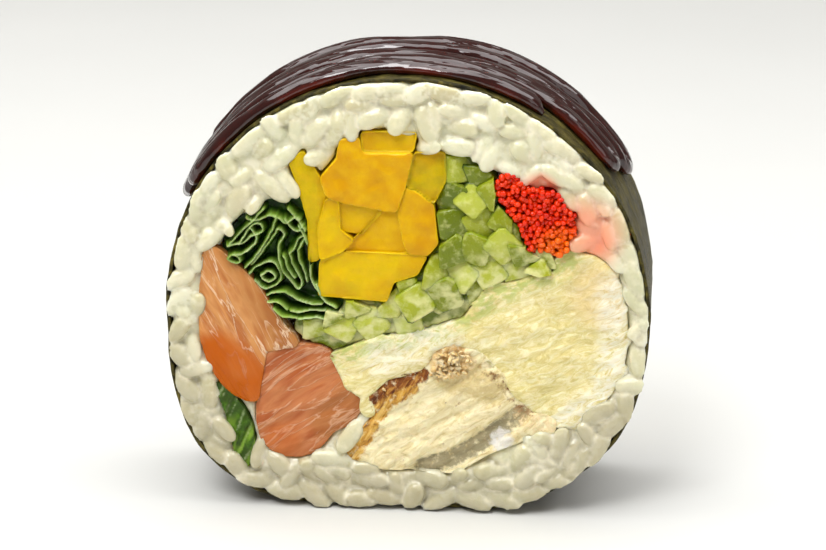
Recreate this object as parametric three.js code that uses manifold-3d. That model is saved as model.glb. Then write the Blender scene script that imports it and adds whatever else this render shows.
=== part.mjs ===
// One slice of futomaki: a thick rice roll in a sheet of nori, cut across and stood on its side,
// with strands of thick sauce over its top. Millimetres, +Z up. The roll's axis runs along Y, the
// cut face that shows looks towards -Y, and the origin is the middle of the flat it rests on.
// Every filling runs through the slice, so each is an outline in X and Z carried along Y.

import * as THREE from "three";
import { mergeVertices } from "three/addons/utils/BufferGeometryUtils.js";
import Module from "manifold-3d";

const wasm = await Module();
wasm.setup();

// Driving sizes of the slice
const WIDTH = 62;
const HEIGHT = 58.4;
const THICKNESS = 20;
const WIDEST_Z = 26.5; // height at which the roll is widest
const SAG = 1.3; // how far the round underside would reach below the flat
const TOP_ROUNDNESS = 2.06; // superellipse exponents: 2 is an ellipse, more is squarer
const LOW_LEFT_ROUNDNESS = 2.9;
const LOW_RIGHT_ROUNDNESS = 2.35;
const OUTLINE_POINTS = 60;

// Layers and clearances
const NORI = 0.5; // thickness of the moist sheet
const GAP = 0.34; // clear space between two neighbours
const NORI_SETBACK = 1.0; // from the rice's cut face back to the sheet's edge
const FACE_Y = THICKNESS / 2;
const CUT_THROUGH_Y = THICKNESS; // how far a cutting solid reaches past either face

// Twist and shift of the fillings from one cut face to the other
const TWIST = THREE.MathUtils.degToRad(3);
const SHIFT_X = 0.7;
const SHIFT_Z = -0.3;

// Rice
const GRAIN_LENGTH = 6.2;
const GRAIN_WIDTH = 3.0;
const GRAIN_PITCH = 4.4;
const GRAIN_SIDES = 5;
const GRAIN_DISORDER = 0.22; // share of the pitch by which a grain strays from its grid
const GRAIN_OVERSHOOT = 0.3; // the outermost grains are cut flat by this much at the faces
const GRAIN_UNEVEN = 0.6; // how much deeper than those the others may lie
const GRAIN_TIP = 0.5; // radians between the most a grain tips out of the face and into it
const GRAIN_RIM_INSET = 0.8; // from the sheet to the outermost grains' middles
const GRAIN_PROFILE = [[0, -0.5], [0.47, -0.22], [0.47, 0.22], [0, 0.5]]; // for a width and length of 1
const RICE_CORE_SETBACK = 1.5; // from the grains' tips back to the core's face
const RICE_SEED = 7;

// Cut faces of the fillings, as setbacks from the rice's faces
const TAKUAN_SETBACK = 0.35;
const TAKUAN_UNEVEN = 0.7; // the sticks are cut through up to this much deeper
const TAKUAN_SEED = 3;
const SALMON_LEFT_SETBACK = 0.6;
const SALMON_RIGHT_SETBACK = 0.9;
const LEAF_STRIP_SETBACK = 0.9;
const CREAM_CHEESE_SETBACK = 0.8;
const BUNDLE_SETBACK = 1.9; // of the cores of roe, lettuce and cucumber

// Eel: the grooves between its flakes
const EEL_SETBACK = 0.5;
const FLAKES = 5;
const FLAKE_STEP = new THREE.Vector2(1.9, -3.4); // from one groove's middle to the next
const MIDDLE_GROOVE = new THREE.Vector2(6, 13);
const GROOVE_TILT = 0.5;
const GROOVE_LENGTH = 40;
const GROOVE_WIDTH = 0.7;
const GROOVE_DEPTH = 0.8;

// Roe
const ROE_WIDTH = 2.0;
const ROE_PITCH = 2.2;
const ROE_DISORDER = 0.22;
const ROE_UNEVEN = 0.7;
const ROE_SEED = 5;

// Lettuce: wavy folds side by side, each more upright than the one before
const LEAF = 0.65; // thickness of a fold, as a solid
const FOLDS = 5;
const FIRST_FOLD = new THREE.Vector2(-21.2, 33.6);
const FOLD_STEP = new THREE.Vector2(2.5, -0.35);
const FOLD_HALF_LENGTH = 8.1;
const FOLD_STATIONS = 11;
const FOLD_SWAY = 0.75;
const FOLD_TILT = 0.28;
const FOLD_TILT_STEP = -0.07;
const FOLD_SETBACK = 0.5;
const FOLD_UNEVEN = 0.25;

// Cucumber sticks
const STICK_SIDE = 3.4;
const STICK_PITCH = 4.25;
const STICK_DISORDER = 0.12;
const STICK_SETBACK = 0.3;
const STICK_UNEVEN = 1.2;
const STICK_SEED = 21;

// Strands of sauce: each pass over the top of the roll lies at one Y and joins the next at its end
const STRAND_WIDTH = 2.5;
const STRAND_HEIGHT = 1.7;
const STRAND_SINK = 0.3; // how far a strand reaches into the sheet's thickness
const STRAND_SIDES = 6;
const STRAND_PASSES_Y = [-6.7, -3.7, -0.8, 2.3, 5.6];
const STRAND_TURNS = [58, 145, 40, 152, 35, 149]; // degrees round the roll at which passes start and end
const STRAND_STEP = 8; // degrees between two sections
const STRAND_BEND = 2.6; // degrees by which a turn reaches past its passes
const STRAND_WANDER = 0.35; // how far a pass strays to either side of its Y
const STRAND_WAVES = 0.13; // radians of that wander for each degree round the roll
const STRAND_TIP = 0.45; // size of a strand's blunt ends, as a share of its full section

// Outlines of the fillings at mid-slice, as [x, z]. Neighbours may share corners or overlap: each
// is drawn in by half the gap, and is cut clear of those that are placed before it.
const TAKUAN = {
  takuan_left_plank: [
    [-15.0, 46.4], [-13.2, 48.1], [-11.0, 44.7], [-10.2, 42.2], [-11.2, 38.0],
    [-10.9, 33.6], [-12.3, 33.2], [-12.5, 38.7], [-13.8, 43.3],
  ],
  takuan_inner_plank: [
    [-10.2, 42.2], [-8.5, 41.6], [-8.3, 37.9], [-6.5, 36.6], [-7.9, 35.0], [-10.9, 33.6], [-11.2, 38.0],
  ],
  takuan_crown: [[-6.0, 50.9], [1.1, 51.2], [0.7, 48.5], [-5.7, 48.2]],
  takuan_main: [
    [-8.6, 49.9], [-6.1, 50.2], [-5.7, 48.2], [0.7, 48.5], [-0.2, 43.9], [-1.2, 40.6],
    [-3.0, 40.8], [-8.5, 41.6], [-10.2, 42.2], [-11.0, 44.7], [-9.0, 47.2],
  ],
  takuan_wedge: [[-8.5, 41.6], [-3.0, 40.8], [-5.7, 37.5], [-8.3, 37.9]],
  takuan_middle: [
    [-3.0, 40.8], [-1.2, 40.6], [-0.3, 36.4], [0.3, 35.1], [-7.9, 35.0], [-6.5, 36.6], [-5.7, 37.5],
  ],
  takuan_right_plank: [
    [-0.2, 43.9], [1.0, 43.6], [3.4, 41.8], [4.1, 36.6],
    [2.8, 35.0], [0.3, 35.1], [-0.3, 36.4], [-1.2, 40.6],
  ],
  takuan_bottom: [
    [-10.9, 33.6], [-7.9, 35.0], [0.3, 35.1], [2.8, 35.0],
    [1.6, 32.4], [-1.4, 31.2], [-2.2, 28.6], [-11.0, 28.9],
  ],
  takuan_green_end: [[0.7, 48.5], [4.6, 48.8], [4.9, 45.1], [3.4, 41.8], [1.0, 43.6], [-0.2, 43.9]],
};

const SALMON_LEFT = [
  [-25.2, 35.0], [-21.8, 32.6], [-18.6, 29.6], [-15.6, 24.8], [-13.4, 21.9], [-17.7, 20.9],
  [-18.7, 14.0], [-21.5, 14.6], [-23.9, 17.0], [-26.1, 22.4], [-25.9, 31.0],
];
const SALMON_RIGHT = [
  [-17.7, 20.9], [-13.4, 21.9], [-9.6, 21.3], [-7.2, 16.4], [-5.2, 15.2], [-6.4, 11.6],
  [-8.9, 10.2], [-11.2, 7.2], [-15.2, 6.4], [-18.2, 8.6], [-18.7, 14.0],
];
const LEAF_STRIP = [
  [-24.3, 16.2], [-23.0, 15.4], [-20.5, 12.6], [-19.2, 8.4],
  [-19.6, 4.9], [-20.8, 4.7], [-22.0, 8.2], [-22.8, 12.0],
];
const EEL = [
  [-7.6, 7.0], [-6.0, 9.4], [-3.5, 13.2], [-4.4, 15.4], [-2.0, 18.0], [2.6, 19.2], [3.8, 22.2], [6.4, 23.4],
  [9.7, 22.3], [12.5, 19.6], [14.3, 16.8], [16.8, 14.8], [19.8, 13.6], [19.6, 11.5], [16.1, 10.8],
  [11.5, 8.6], [7.2, 5.6], [-2.8, 5.5],
];
const TOBIKO = [
  [11.2, 45.2], [13.0, 46.6], [15.4, 44.4], [18.4, 44.2], [21.4, 40.6], [20.8, 37.6],
  [19.3, 35.6], [17.4, 36.6], [15.4, 36.2], [14.2, 39.4], [12.0, 42.3],
];
const LETTUCE = [
  [-23.8, 33.6], [-20.8, 39.0], [-16.6, 41.2], [-12.4, 41.2], [-10.4, 36.0], [-9.8, 31.3],
  [-8.0, 27.4], [-13.0, 25.6], [-17.0, 26.6], [-20.6, 29.6],
];
const CUCUMBER = [
  [3.0, 48.4], [7.4, 48.6], [11.8, 45.6], [15.6, 38.6], [19.4, 36.6], [18.8, 33.4], [10.4, 31.0], [7.6, 26.6],
  [2.0, 24.4], [-4.0, 23.2], [-9.8, 20.6], [-14.6, 23.6], [-13.4, 28.6], [-1.4, 32.4], [2.4, 38.0],
];
const CREAM_CHEESE = [
  [-10.6, 19.6], [-9.0, 24.4], [2.0, 26.4], [8.0, 30.0], [14.0, 34.0], [21.0, 36.4], [26.0, 34.4],
  [28.0, 28.0], [27.8, 20.6], [25.2, 15.8], [20.8, 12.8], [10.0, 12.0], [-4.6, 12.6], [-6.6, 15.8],
];

const COLOURS = {
  rice: 0xe9e6d6,
  nori: 0x14180f,
  takuan: 0xe3ae0a,
  salmon: 0xd9692f,
  salmon_pale: 0xc9785c,
  eel: 0xdccb9c,
  tobiko: 0xe0281a,
  lettuce: 0x2f6a1c,
  cucumber: 0xb4cc6c,
  cream_cheese: 0xf0e9c8,
};

// Seeded random numbers from 0 to 1 (mulberry32)
function randomFrom(seed) {
  let state = seed;
  return () => {
    state = (state + 0x6d2b79f5) | 0;
    let mixed = Math.imul(state ^ (state >>> 15), 1 | state);
    mixed = (mixed + Math.imul(mixed ^ (mixed >>> 7), 61 | mixed)) ^ mixed;
    return ((mixed ^ (mixed >>> 14)) >>> 0) / 4294967296;
  };
}

// Outlines: lists of Vector2 whose y is the slice's Z, going anticlockwise as seen from the front

function anticlockwise(points) {
  return THREE.ShapeUtils.isClockWise(points) ? points.slice().reverse() : points;
}

function corners(pairs) {
  return anticlockwise(pairs.map(([x, z]) => new THREE.Vector2(x, z)));
}

// A smooth closed curve through the pairs
function smooth(pairs, pointsEach = 2) {
  const through = pairs.map(([x, z]) => new THREE.Vector3(x, z, 0));
  const curve = new THREE.CatmullRomCurve3(through, true, "centripetal");
  const count = pairs.length * pointsEach;
  return anticlockwise(curve.getPoints(count).slice(0, count).map((p) => new THREE.Vector2(p.x, p.y)));
}

// The outline moved outwards by a distance, or inwards by a negative one
function grown(outline, distance) {
  return outline.map((here, i) => {
    const before = outline.at(i - 1);
    const after = outline[(i + 1) % outline.length];
    const into = here.clone().sub(before).normalize();
    const outOf = after.clone().sub(here).normalize();
    const sum = new THREE.Vector2(into.y + outOf.y, -into.x - outOf.x);
    const miter = Math.max(0.5, 1 + into.dot(outOf));
    return here.clone().addScaledVector(sum, distance / miter);
  });
}

// The roll's outline: an ellipse above its widest height, squarer below it, and cut off flat
function rollPoint(angle) {
  const c = Math.cos(angle);
  const s = Math.sin(angle);
  const lowRoundness = c < 0 ? LOW_LEFT_ROUNDNESS : LOW_RIGHT_ROUNDNESS;
  const power = 2 / (s >= 0 ? TOP_ROUNDNESS : lowRoundness);
  const reach = s >= 0 ? HEIGHT - WIDEST_Z : WIDEST_Z + SAG;
  const x = (WIDTH / 2) * Math.sign(c) * Math.abs(c) ** power;
  const z = WIDEST_Z + reach * Math.sign(s) * Math.abs(s) ** power;
  return new THREE.Vector2(x, Math.max(0, z));
}

function rollOutline(inset) {
  const turn = (2 * Math.PI) / OUTLINE_POINTS;
  const points = Array.from({ length: OUTLINE_POINTS }, (_, i) => rollPoint(i * turn));
  return grown(points, -inset);
}

function contains(outline, x, z) {
  let inside = false;
  outline.forEach((a, i) => {
    const b = outline.at(i - 1);
    if (a.y > z !== b.y > z && x < ((b.x - a.x) * (z - a.y)) / (b.y - a.y) + a.x) inside = !inside;
  });
  return inside;
}

// Geometry and solids

function closedGeometry(positions, triangles) {
  const geometry = new THREE.BufferGeometry();
  geometry.setAttribute("position", new THREE.Float32BufferAttribute(positions, 3));
  geometry.setIndex(triangles);
  return geometry;
}

// An outline carried along Y through the given stations, each section placed by place(point, y)
function carried(outline, stations, place) {
  const count = outline.length;
  const positions = stations.flatMap((y) => outline.flatMap((point) => place(point, y)));
  const cap = THREE.ShapeUtils.triangulateShape(outline, []);
  const last = (stations.length - 1) * count;
  const triangles = cap.flatMap(([a, b, c]) => [a, b, c, last + a, last + c, last + b]);
  for (let s = 0; s < stations.length - 1; s++) {
    for (let i = 0; i < count; i++) {
      const [a, b] = [s * count + i, s * count + ((i + 1) % count)];
      triangles.push(a, a + count, b, b, a + count, b + count);
    }
  }
  return closedGeometry(positions, triangles);
}

function straight(outline, front, back) {
  return solidOf(carried(outline, [front, back], (p, y) => [p.x, y, p.y]));
}

// A filling turns about the middle of the roll and shifts a little on its way through
function driftedPoint(point, y) {
  const share = y / THICKNESS;
  const pivot = new THREE.Vector2(0, WIDEST_Z);
  const moved = point.clone().rotateAround(pivot, TWIST * share);
  return [moved.x + SHIFT_X * share, y, moved.y + SHIFT_Z * share];
}

function drifted(outline, front, back) {
  return solidOf(carried(outline, [front, (front + back) / 2, back], driftedPoint));
}

function solidOf(geometry) {
  const bare = geometry.clone();
  bare.deleteAttribute("normal");
  bare.deleteAttribute("uv");
  const merged = mergeVertices(bare, 1e-4);
  return new wasm.Manifold(
    new wasm.Mesh({
      numProp: 3,
      vertProperties: merged.attributes.position.array,
      triVerts: new Uint32Array(merged.index.array),
    }),
  );
}

function union(solids) {
  return solids.reduce((whole, solid) => whole.add(solid));
}

function cutClear(solid, cutters) {
  return cutters.reduce((rest, cutter) => rest.subtract(cutter), solid);
}

// The main body of a solid, without loose scraps and with sealed hollows filled
function mainBody(solid) {
  return solid.decompose().reduce((most, body) => (body.volume() > most.volume() ? body : most));
}

function meshOf(name, solid, colour, roughness) {
  const { vertProperties, triVerts } = mainBody(solid).getMesh();
  const geometry = closedGeometry(vertProperties, Array.from(triVerts));
  geometry.computeVertexNormals();
  const material = new THREE.MeshStandardMaterial({ color: colour, roughness, metalness: 0 });
  const mesh = new THREE.Mesh(geometry, material);
  mesh.name = name;
  return mesh;
}

// Fillings: what each takes up is kept as a cutter for those placed after it

const futomaki = new THREE.Group();
const cutters = [];

function takenUp(outline) {
  return drifted(grown(outline, GAP / 2), -CUT_THROUGH_Y, CUT_THROUGH_Y);
}

// Cuts each solid clear of all that was placed before this group, and then adds the group
function placeFillings(fillings) {
  for (const { name, solid, colour, roughness } of fillings) {
    futomaki.add(meshOf(name, cutClear(solid, cutters), colour, roughness));
  }
  cutters.push(...fillings.map(({ outline }) => takenUp(outline)));
}

// A piece of one solid, cut flat at both faces
function plainPiece(outline, setback) {
  return drifted(grown(outline, -GAP / 2), -FACE_Y + setback, FACE_Y - setback);
}

function takuan() {
  const random = randomFrom(TAKUAN_SEED);
  return Object.entries(TAKUAN).map(([name, pairs]) => {
    const outline = corners(pairs);
    const solid = plainPiece(outline, TAKUAN_SETBACK + TAKUAN_UNEVEN * random());
    return { name, outline, solid, colour: COLOURS.takuan, roughness: 0.35 };
  });
}

// One soft piece with a rounded outline
function softPiece(name, pairs, setback, colour, roughness) {
  const outline = smooth(pairs);
  return [{ name, outline, solid: plainPiece(outline, setback), colour, roughness }];
}

// A rectangle of the given size, turned and then moved to its middle
function block(width, height, turn, middle) {
  const [x, z] = [width / 2, height / 2];
  const pairs = [[-x, -z], [x, -z], [x, z], [-x, z]];
  return corners(pairs).map((p) => p.rotateAround(new THREE.Vector2(), turn).add(middle));
}

// The eel's flakes are layers that run up to the right, with a groove cut between them at both faces
function eel() {
  const outline = corners(EEL);
  const bottomY = FACE_Y - EEL_SETBACK - GROOVE_DEPTH;
  const grooves = Array.from({ length: FLAKES }, (_, i) => {
    const middle = MIDDLE_GROOVE.clone().addScaledVector(FLAKE_STEP, i - (FLAKES - 1) / 2);
    return block(GROOVE_LENGTH, GROOVE_WIDTH, GROOVE_TILT, middle);
  });
  const cuts = grooves.flatMap((groove) => [
    drifted(groove, -CUT_THROUGH_Y, -bottomY),
    drifted(groove, bottomY, CUT_THROUGH_Y),
  ]);
  const solid = cutClear(plainPiece(outline, EEL_SETBACK), cuts);
  return [{ name: "eel", outline, solid, colour: COLOURS.eel, roughness: 0.55 }];
}

// Points inside an outline, about a pitch apart, on a staggered grid that a seed disturbs
function scattered(outline, pitch, disorder, random) {
  const box = new THREE.Box2().setFromPoints(outline);
  const points = [];
  const rowStep = pitch * Math.sqrt(0.75);
  for (let row = 0, z = box.min.y; z <= box.max.y; row++, z += rowStep) {
    for (let x = box.min.x + (row % 2) * pitch * 0.5; x <= box.max.x; x += pitch) {
      const px = x + pitch * disorder * (2 * random() - 1);
      const pz = z + pitch * disorder * (2 * random() - 1);
      if (contains(outline, px, pz)) points.push(new THREE.Vector2(px, pz));
    }
  }
  return points;
}

// A recessed core with pieces fused on, kept inside its own outline
function bundle(outline, pieces) {
  const inner = grown(outline, -GAP / 2);
  const core = plainPiece(outline, BUNDLE_SETBACK);
  return union([core, ...pieces]).intersect(drifted(inner, -FACE_Y, FACE_Y));
}

function tobiko() {
  const random = randomFrom(ROE_SEED);
  const outline = smooth(TOBIKO);
  const bead = new THREE.IcosahedronGeometry(ROE_WIDTH / 2, 0);
  const beads = [-1, 1].flatMap((face) =>
    scattered(outline, ROE_PITCH, ROE_DISORDER, random).map((point) => {
      const y = face * (FACE_Y - BUNDLE_SETBACK + ROE_UNEVEN * (random() - 0.1));
      const [px, , pz] = driftedPoint(point, y);
      return solidOf(bead.clone().rotateY(Math.PI * random()).translate(px, y, pz));
    }),
  );
  const solid = bundle(outline, beads);
  return [{ name: "tobiko", outline, solid, colour: COLOURS.tobiko, roughness: 0.25 }];
}

// Folds of a shredded leaf: wavy strips that run through the bundle side by side
function fold(i) {
  const middle = FIRST_FOLD.clone().addScaledVector(FOLD_STEP, i);
  const tilt = FOLD_TILT + i * FOLD_TILT_STEP;
  const line = Array.from({ length: FOLD_STATIONS }, (_, station) => {
    const along = FOLD_HALF_LENGTH * ((2 * station) / (FOLD_STATIONS - 1) - 1);
    const sway = FOLD_SWAY * Math.sin(along * (0.9 + 0.12 * i) + i * 2.1);
    return new THREE.Vector2(sway, along).rotateAround(new THREE.Vector2(), tilt).add(middle);
  });
  const side = (sign) => line.map((p) => p.clone().add(new THREE.Vector2((sign * LEAF) / 2, 0)));
  return anticlockwise([...side(1), ...side(-1).reverse()]);
}

function lettuce() {
  const outline = smooth(LETTUCE);
  const folds = Array.from({ length: FOLDS }, (_, i) => {
    const y = FACE_Y - FOLD_SETBACK - FOLD_UNEVEN * (i % 3);
    return drifted(fold(i), -y, y);
  });
  const solid = bundle(outline, folds);
  return [{ name: "lettuce", outline, solid, colour: COLOURS.lettuce, roughness: 0.5 }];
}

function cucumber() {
  const random = randomFrom(STICK_SEED);
  const outline = corners(CUCUMBER);
  const sticks = scattered(outline, STICK_PITCH, STICK_DISORDER, random).map((point) => {
    const turn = 1.4 * random();
    const side = STICK_SIDE * (0.86 + 0.2 * random());
    const front = -FACE_Y + STICK_SETBACK + STICK_UNEVEN * random();
    const back = FACE_Y - STICK_SETBACK - STICK_UNEVEN * random();
    return drifted(block(side, side, turn, point), front, back);
  });
  const solid = bundle(outline, sticks);
  return [{ name: "cucumber", outline, solid, colour: COLOURS.cucumber, roughness: 0.4 }];
}

// Wraps and rice

function nori() {
  const edge = FACE_Y - NORI_SETBACK;
  const hollow = straight(rollOutline(NORI), -CUT_THROUGH_Y, CUT_THROUGH_Y);
  return straight(rollOutline(0), -edge, edge).subtract(hollow).add(sauce());
}

// The path of the sauce as [degrees round the roll, y]: passes that turn back at alternate ends
function sauceRoute() {
  return STRAND_PASSES_Y.flatMap((y, i) => {
    const [from, to] = [STRAND_TURNS[i], STRAND_TURNS[i + 1]];
    const steps = Math.round(Math.abs(to - from) / STRAND_STEP);
    const pass = Array.from({ length: steps + 1 }, (_, s) => {
      const angle = from + ((to - from) * s) / steps;
      return [angle, y + STRAND_WANDER * Math.sin(angle * STRAND_WAVES + 2 * i)];
    });
    const isLast = i === STRAND_PASSES_Y.length - 1;
    const bend = [to + Math.sign(to - from) * STRAND_BEND, (y + STRAND_PASSES_Y[i + 1]) / 2];
    return isLast ? pass : [...pass, bend];
  });
}

function sauce() {
  const surface = sauceRoute().map(([degrees, y]) => {
    const point = rollPoint(THREE.MathUtils.degToRad(degrees));
    return new THREE.Vector3(point.x, y, point.y);
  });
  const path = new THREE.CatmullRomCurve3(surface, false, "centripetal");
  const count = surface.length;
  const ring = [];
  for (let i = 0; i < count; i++) {
    const share = i / (count - 1);
    const surfacePoint = path.getPoint(share);
    const along = path.getTangent(share);
    const out = new THREE.Vector3(surfacePoint.x, 0, surfacePoint.z - WIDEST_Z).normalize();
    const at = surfacePoint.addScaledVector(out, STRAND_HEIGHT / 2 - STRAND_SINK);
    const across = new THREE.Vector3().crossVectors(along, out).normalize();
    const taper = Math.min(1, STRAND_TIP + Math.min(i, count - 1 - i));
    for (let k = 0; k < STRAND_SIDES; k++) {
      const turn = (2 * Math.PI * k) / STRAND_SIDES;
      const point = at
        .clone()
        .addScaledVector(across, (taper * STRAND_WIDTH * Math.cos(turn)) / 2)
        .addScaledVector(out, (taper * STRAND_HEIGHT * Math.sin(turn)) / 2);
      ring.push(point.x, point.y, point.z);
    }
  }
  const triangles = [];
  const last = (count - 1) * STRAND_SIDES;
  for (let k = 1; k < STRAND_SIDES - 1; k++) triangles.push(0, k, k + 1, last, last + k + 1, last + k);
  for (let i = 0; i < count - 1; i++) {
    for (let k = 0; k < STRAND_SIDES; k++) {
      const [a, b] = [i * STRAND_SIDES + k, i * STRAND_SIDES + ((k + 1) % STRAND_SIDES)];
      triangles.push(a, a + STRAND_SIDES, b, b, a + STRAND_SIDES, b + STRAND_SIDES);
    }
  }
  return solidOf(closedGeometry(ring, triangles));
}

// Grains that show at both cut faces, lying every way in the face and tipped a little out of it
function grains() {
  const random = randomFrom(RICE_SEED);
  const rim = rollOutline(NORI + GAP + GRAIN_RIM_INSET);
  const profile = GRAIN_PROFILE.map(([r, along]) => new THREE.Vector2(r, along));
  const grain = new THREE.LatheGeometry(profile, GRAIN_SIDES).rotateX(Math.PI / 2);
  const outermostY = FACE_Y - GRAIN_WIDTH / 2 + GRAIN_OVERSHOOT;
  return [-1, 1].flatMap((face) =>
    scattered(rim, GRAIN_PITCH, GRAIN_DISORDER, random)
      .filter((point) => !fillingOutlines.some((outline) => contains(outline, point.x, point.y)))
      .map((point) => {
        const solid = grain.clone();
        solid.scale(GRAIN_WIDTH, GRAIN_WIDTH, GRAIN_LENGTH * (0.85 + 0.2 * random()));
        solid.rotateX(GRAIN_TIP * (random() - 0.5));
        solid.rotateY(Math.PI * random());
        return solidOf(solid.translate(point.x, face * (outermostY - GRAIN_UNEVEN * random()), point.y));
      }),
  );
}

function rice() {
  const coreY = FACE_Y - RICE_CORE_SETBACK;
  const core = straight(rollOutline(NORI + GAP), -coreY, coreY);
  const sheetY = FACE_Y - NORI_SETBACK + GAP;
  const sheetRoom = straight(rollOutline(-2), -sheetY, sheetY).subtract(
    straight(rollOutline(NORI + GAP), -CUT_THROUGH_Y, CUT_THROUGH_Y),
  );
  const whole = union([core, ...grains()]).intersect(straight(rollOutline(0), -FACE_Y, FACE_Y));
  return cutClear(whole, [sheetRoom, ...cutters]);
}

// The order decides which filling gives way: each group is cut clear of those above it
const groups = [
  takuan(),
  softPiece("salmon_left", SALMON_LEFT, SALMON_LEFT_SETBACK, COLOURS.salmon, 0.3),
  softPiece("salmon_right", SALMON_RIGHT, SALMON_RIGHT_SETBACK, COLOURS.salmon_pale, 0.3),
  softPiece("leaf_strip", LEAF_STRIP, LEAF_STRIP_SETBACK, COLOURS.lettuce, 0.5),
  eel(),
  tobiko(),
  lettuce(),
  cucumber(),
  softPiece("cream_cheese", CREAM_CHEESE, CREAM_CHEESE_SETBACK, COLOURS.cream_cheese, 0.6),
];
const fillingOutlines = groups.flat().map(({ outline }) => outline);
groups.forEach(placeFillings);
futomaki.add(meshOf("rice", rice(), COLOURS.rice, 0.45));
futomaki.add(meshOf("nori", nori(), COLOURS.nori, 0.4));

export default futomaki;
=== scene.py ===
"""The looks of a futomaki slice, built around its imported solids.

Each solid is replaced by the food that it stands for. Lengths are in millimetres until a mesh is
made. X runs to the right and Z up as the front cut face is seen, and Y runs into the slice, so the
front cut face has the lowest Y. Places of marks on the fillings are given at mid-slice.
"""

import math
import random

import bpy
import numpy as np
from mathutils import Euler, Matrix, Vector, noise
from mathutils.bvhtree import BVHTree
from mathutils.kdtree import KDTree


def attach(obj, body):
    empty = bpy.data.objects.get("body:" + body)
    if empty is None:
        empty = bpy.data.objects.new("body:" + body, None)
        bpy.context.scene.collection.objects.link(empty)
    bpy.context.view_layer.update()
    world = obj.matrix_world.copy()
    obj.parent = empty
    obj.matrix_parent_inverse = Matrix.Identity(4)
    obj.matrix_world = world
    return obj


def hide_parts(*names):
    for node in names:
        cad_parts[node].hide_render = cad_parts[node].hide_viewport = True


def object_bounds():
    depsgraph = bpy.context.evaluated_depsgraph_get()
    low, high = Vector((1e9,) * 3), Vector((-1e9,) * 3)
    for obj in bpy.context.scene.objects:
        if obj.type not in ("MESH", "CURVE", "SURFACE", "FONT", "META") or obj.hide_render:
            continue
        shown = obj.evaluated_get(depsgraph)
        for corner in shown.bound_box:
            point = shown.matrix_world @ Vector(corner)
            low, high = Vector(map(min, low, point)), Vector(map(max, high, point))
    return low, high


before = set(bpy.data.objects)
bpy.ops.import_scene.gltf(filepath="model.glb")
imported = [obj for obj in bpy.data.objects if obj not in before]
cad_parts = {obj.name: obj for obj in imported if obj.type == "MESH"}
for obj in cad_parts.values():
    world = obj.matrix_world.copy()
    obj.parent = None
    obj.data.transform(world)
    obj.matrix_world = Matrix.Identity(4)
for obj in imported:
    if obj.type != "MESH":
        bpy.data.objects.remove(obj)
cad_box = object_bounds()

MM = 0.001
FACE_Y = cad_box[1][1] / MM
SIDES = (-1, 1)  # the front cut face and the back one
CENTRE_Z = 26.5  # angles round the roll are measured about this height
BEYOND = 60  # every point of the slice lies nearer to the axes than this

# The fillings turn and shift a little between the two cut faces, 20 mm apart
TWIST_PER_MM = math.radians(3) / 20
SHIFT_PER_MM = np.array([0.7, -0.3]) / 20

# Camera: distance and direction of the photograph's view, with the slice filling the frame
CAMERA_AZIMUTH = 5.3
CAMERA_ELEVATION = 20
CAMERA_DISTANCE = 380
CAMERA_LENS = 128
CAMERA_TARGET = (0, 0, 29.2)

# Map of the cut faces
MAP_STEP = 0.25
MAP_HALF_WIDTH = 33
MAP_HEIGHT = 61
BARE_Y = -8.7  # the sheet carries no sauce at this Y
FILLINGS = [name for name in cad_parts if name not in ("rice", "nori")]


# Shapes as arrays of points

SEED_STEP = 37.3  # how far apart the noise of two seeds is taken, in wavelengths


def drift(points, direction=1):
    """Points at mid-slice coordinates moved to where the fillings have drifted at their Y."""
    angle = -direction * TWIST_PER_MM * points[:, 1]
    x, z = points[:, 0], points[:, 2] - CENTRE_Z
    shift = direction * points[:, 1:2] * SHIFT_PER_MM
    if direction < 0:
        x, z = x + shift[:, 0], z + shift[:, 1]
    cos, sin = np.cos(angle), np.sin(angle)
    moved = np.column_stack([x * cos + z * sin, points[:, 1], z * cos - x * sin + CENTRE_Z])
    if direction > 0:
        moved[:, [0, 2]] += shift
    return moved


def mid_slice(points):
    """The mid-slice coordinates of points on the fillings."""
    return drift(points, direction=-1)


def turned(points, degrees):
    """Points turned about Y, so that a line which climbs to the right by that angle comes to lie along X."""
    cos, sin = math.cos(math.radians(degrees)), math.sin(math.radians(degrees))
    x, y, z = points.T
    return np.column_stack([x * cos + z * sin, y, z * cos - x * sin])


def relief(points, sizes, seed, octaves=3):
    """Smooth noise from about -1 to 1; sizes are its wavelengths along X, Y and Z."""
    scaled = points / np.array(sizes) + SEED_STEP * seed
    return np.array([noise.fractal(Vector(p), 1.0, 2.0, octaves) for p in scaled])


def smoothstep(low, high, values):
    share = np.clip((values - low) / (high - low), 0, 1)
    return share * share * (3 - 2 * share)


def line_distance(at, starts, ends):
    """How far places lie from the nearest of some straight lines, all given as [x, z]."""
    distance = np.full(len(at), np.inf)
    for a, b in zip(starts, ends):
        share = np.clip(((at - a) @ (b - a)) / ((b - a) @ (b - a)), 0, 1)
        distance = np.minimum(distance, np.linalg.norm(at - a - share[:, None] * (b - a), axis=1))
    return distance


def near_line(points, line, width):
    """1 on a line through the slice, given as [x, z] at mid-slice, fading to 0 at the width from it."""
    line = np.array(line, float)
    distance = line_distance(mid_slice(points)[:, [0, 2]], line[:-1], line[1:])
    return 1 - smoothstep(0.45 * width, width, distance)


def near_place(points, place, width):
    """1 at a place through the slice, given as [x, z] at mid-slice, fading to 0 at the width from it."""
    at = mid_slice(points)[:, [0, 2]]
    return 1 - smoothstep(0.4 * width, width, np.linalg.norm(at - np.array(place), axis=1))


# Meshes

def new_piece(name, points, faces):
    mesh = bpy.data.meshes.new(name)
    mesh.from_pydata((np.asarray(points) * MM).tolist(), [], faces)
    mesh.shade_smooth()
    piece = bpy.data.objects.new(name, mesh)
    bpy.context.scene.collection.objects.link(piece)
    return piece


def points_of(piece):
    flat = np.empty(len(piece.data.vertices) * 3)
    piece.data.vertices.foreach_get("co", flat)
    return flat.reshape(-1, 3) / MM


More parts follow.
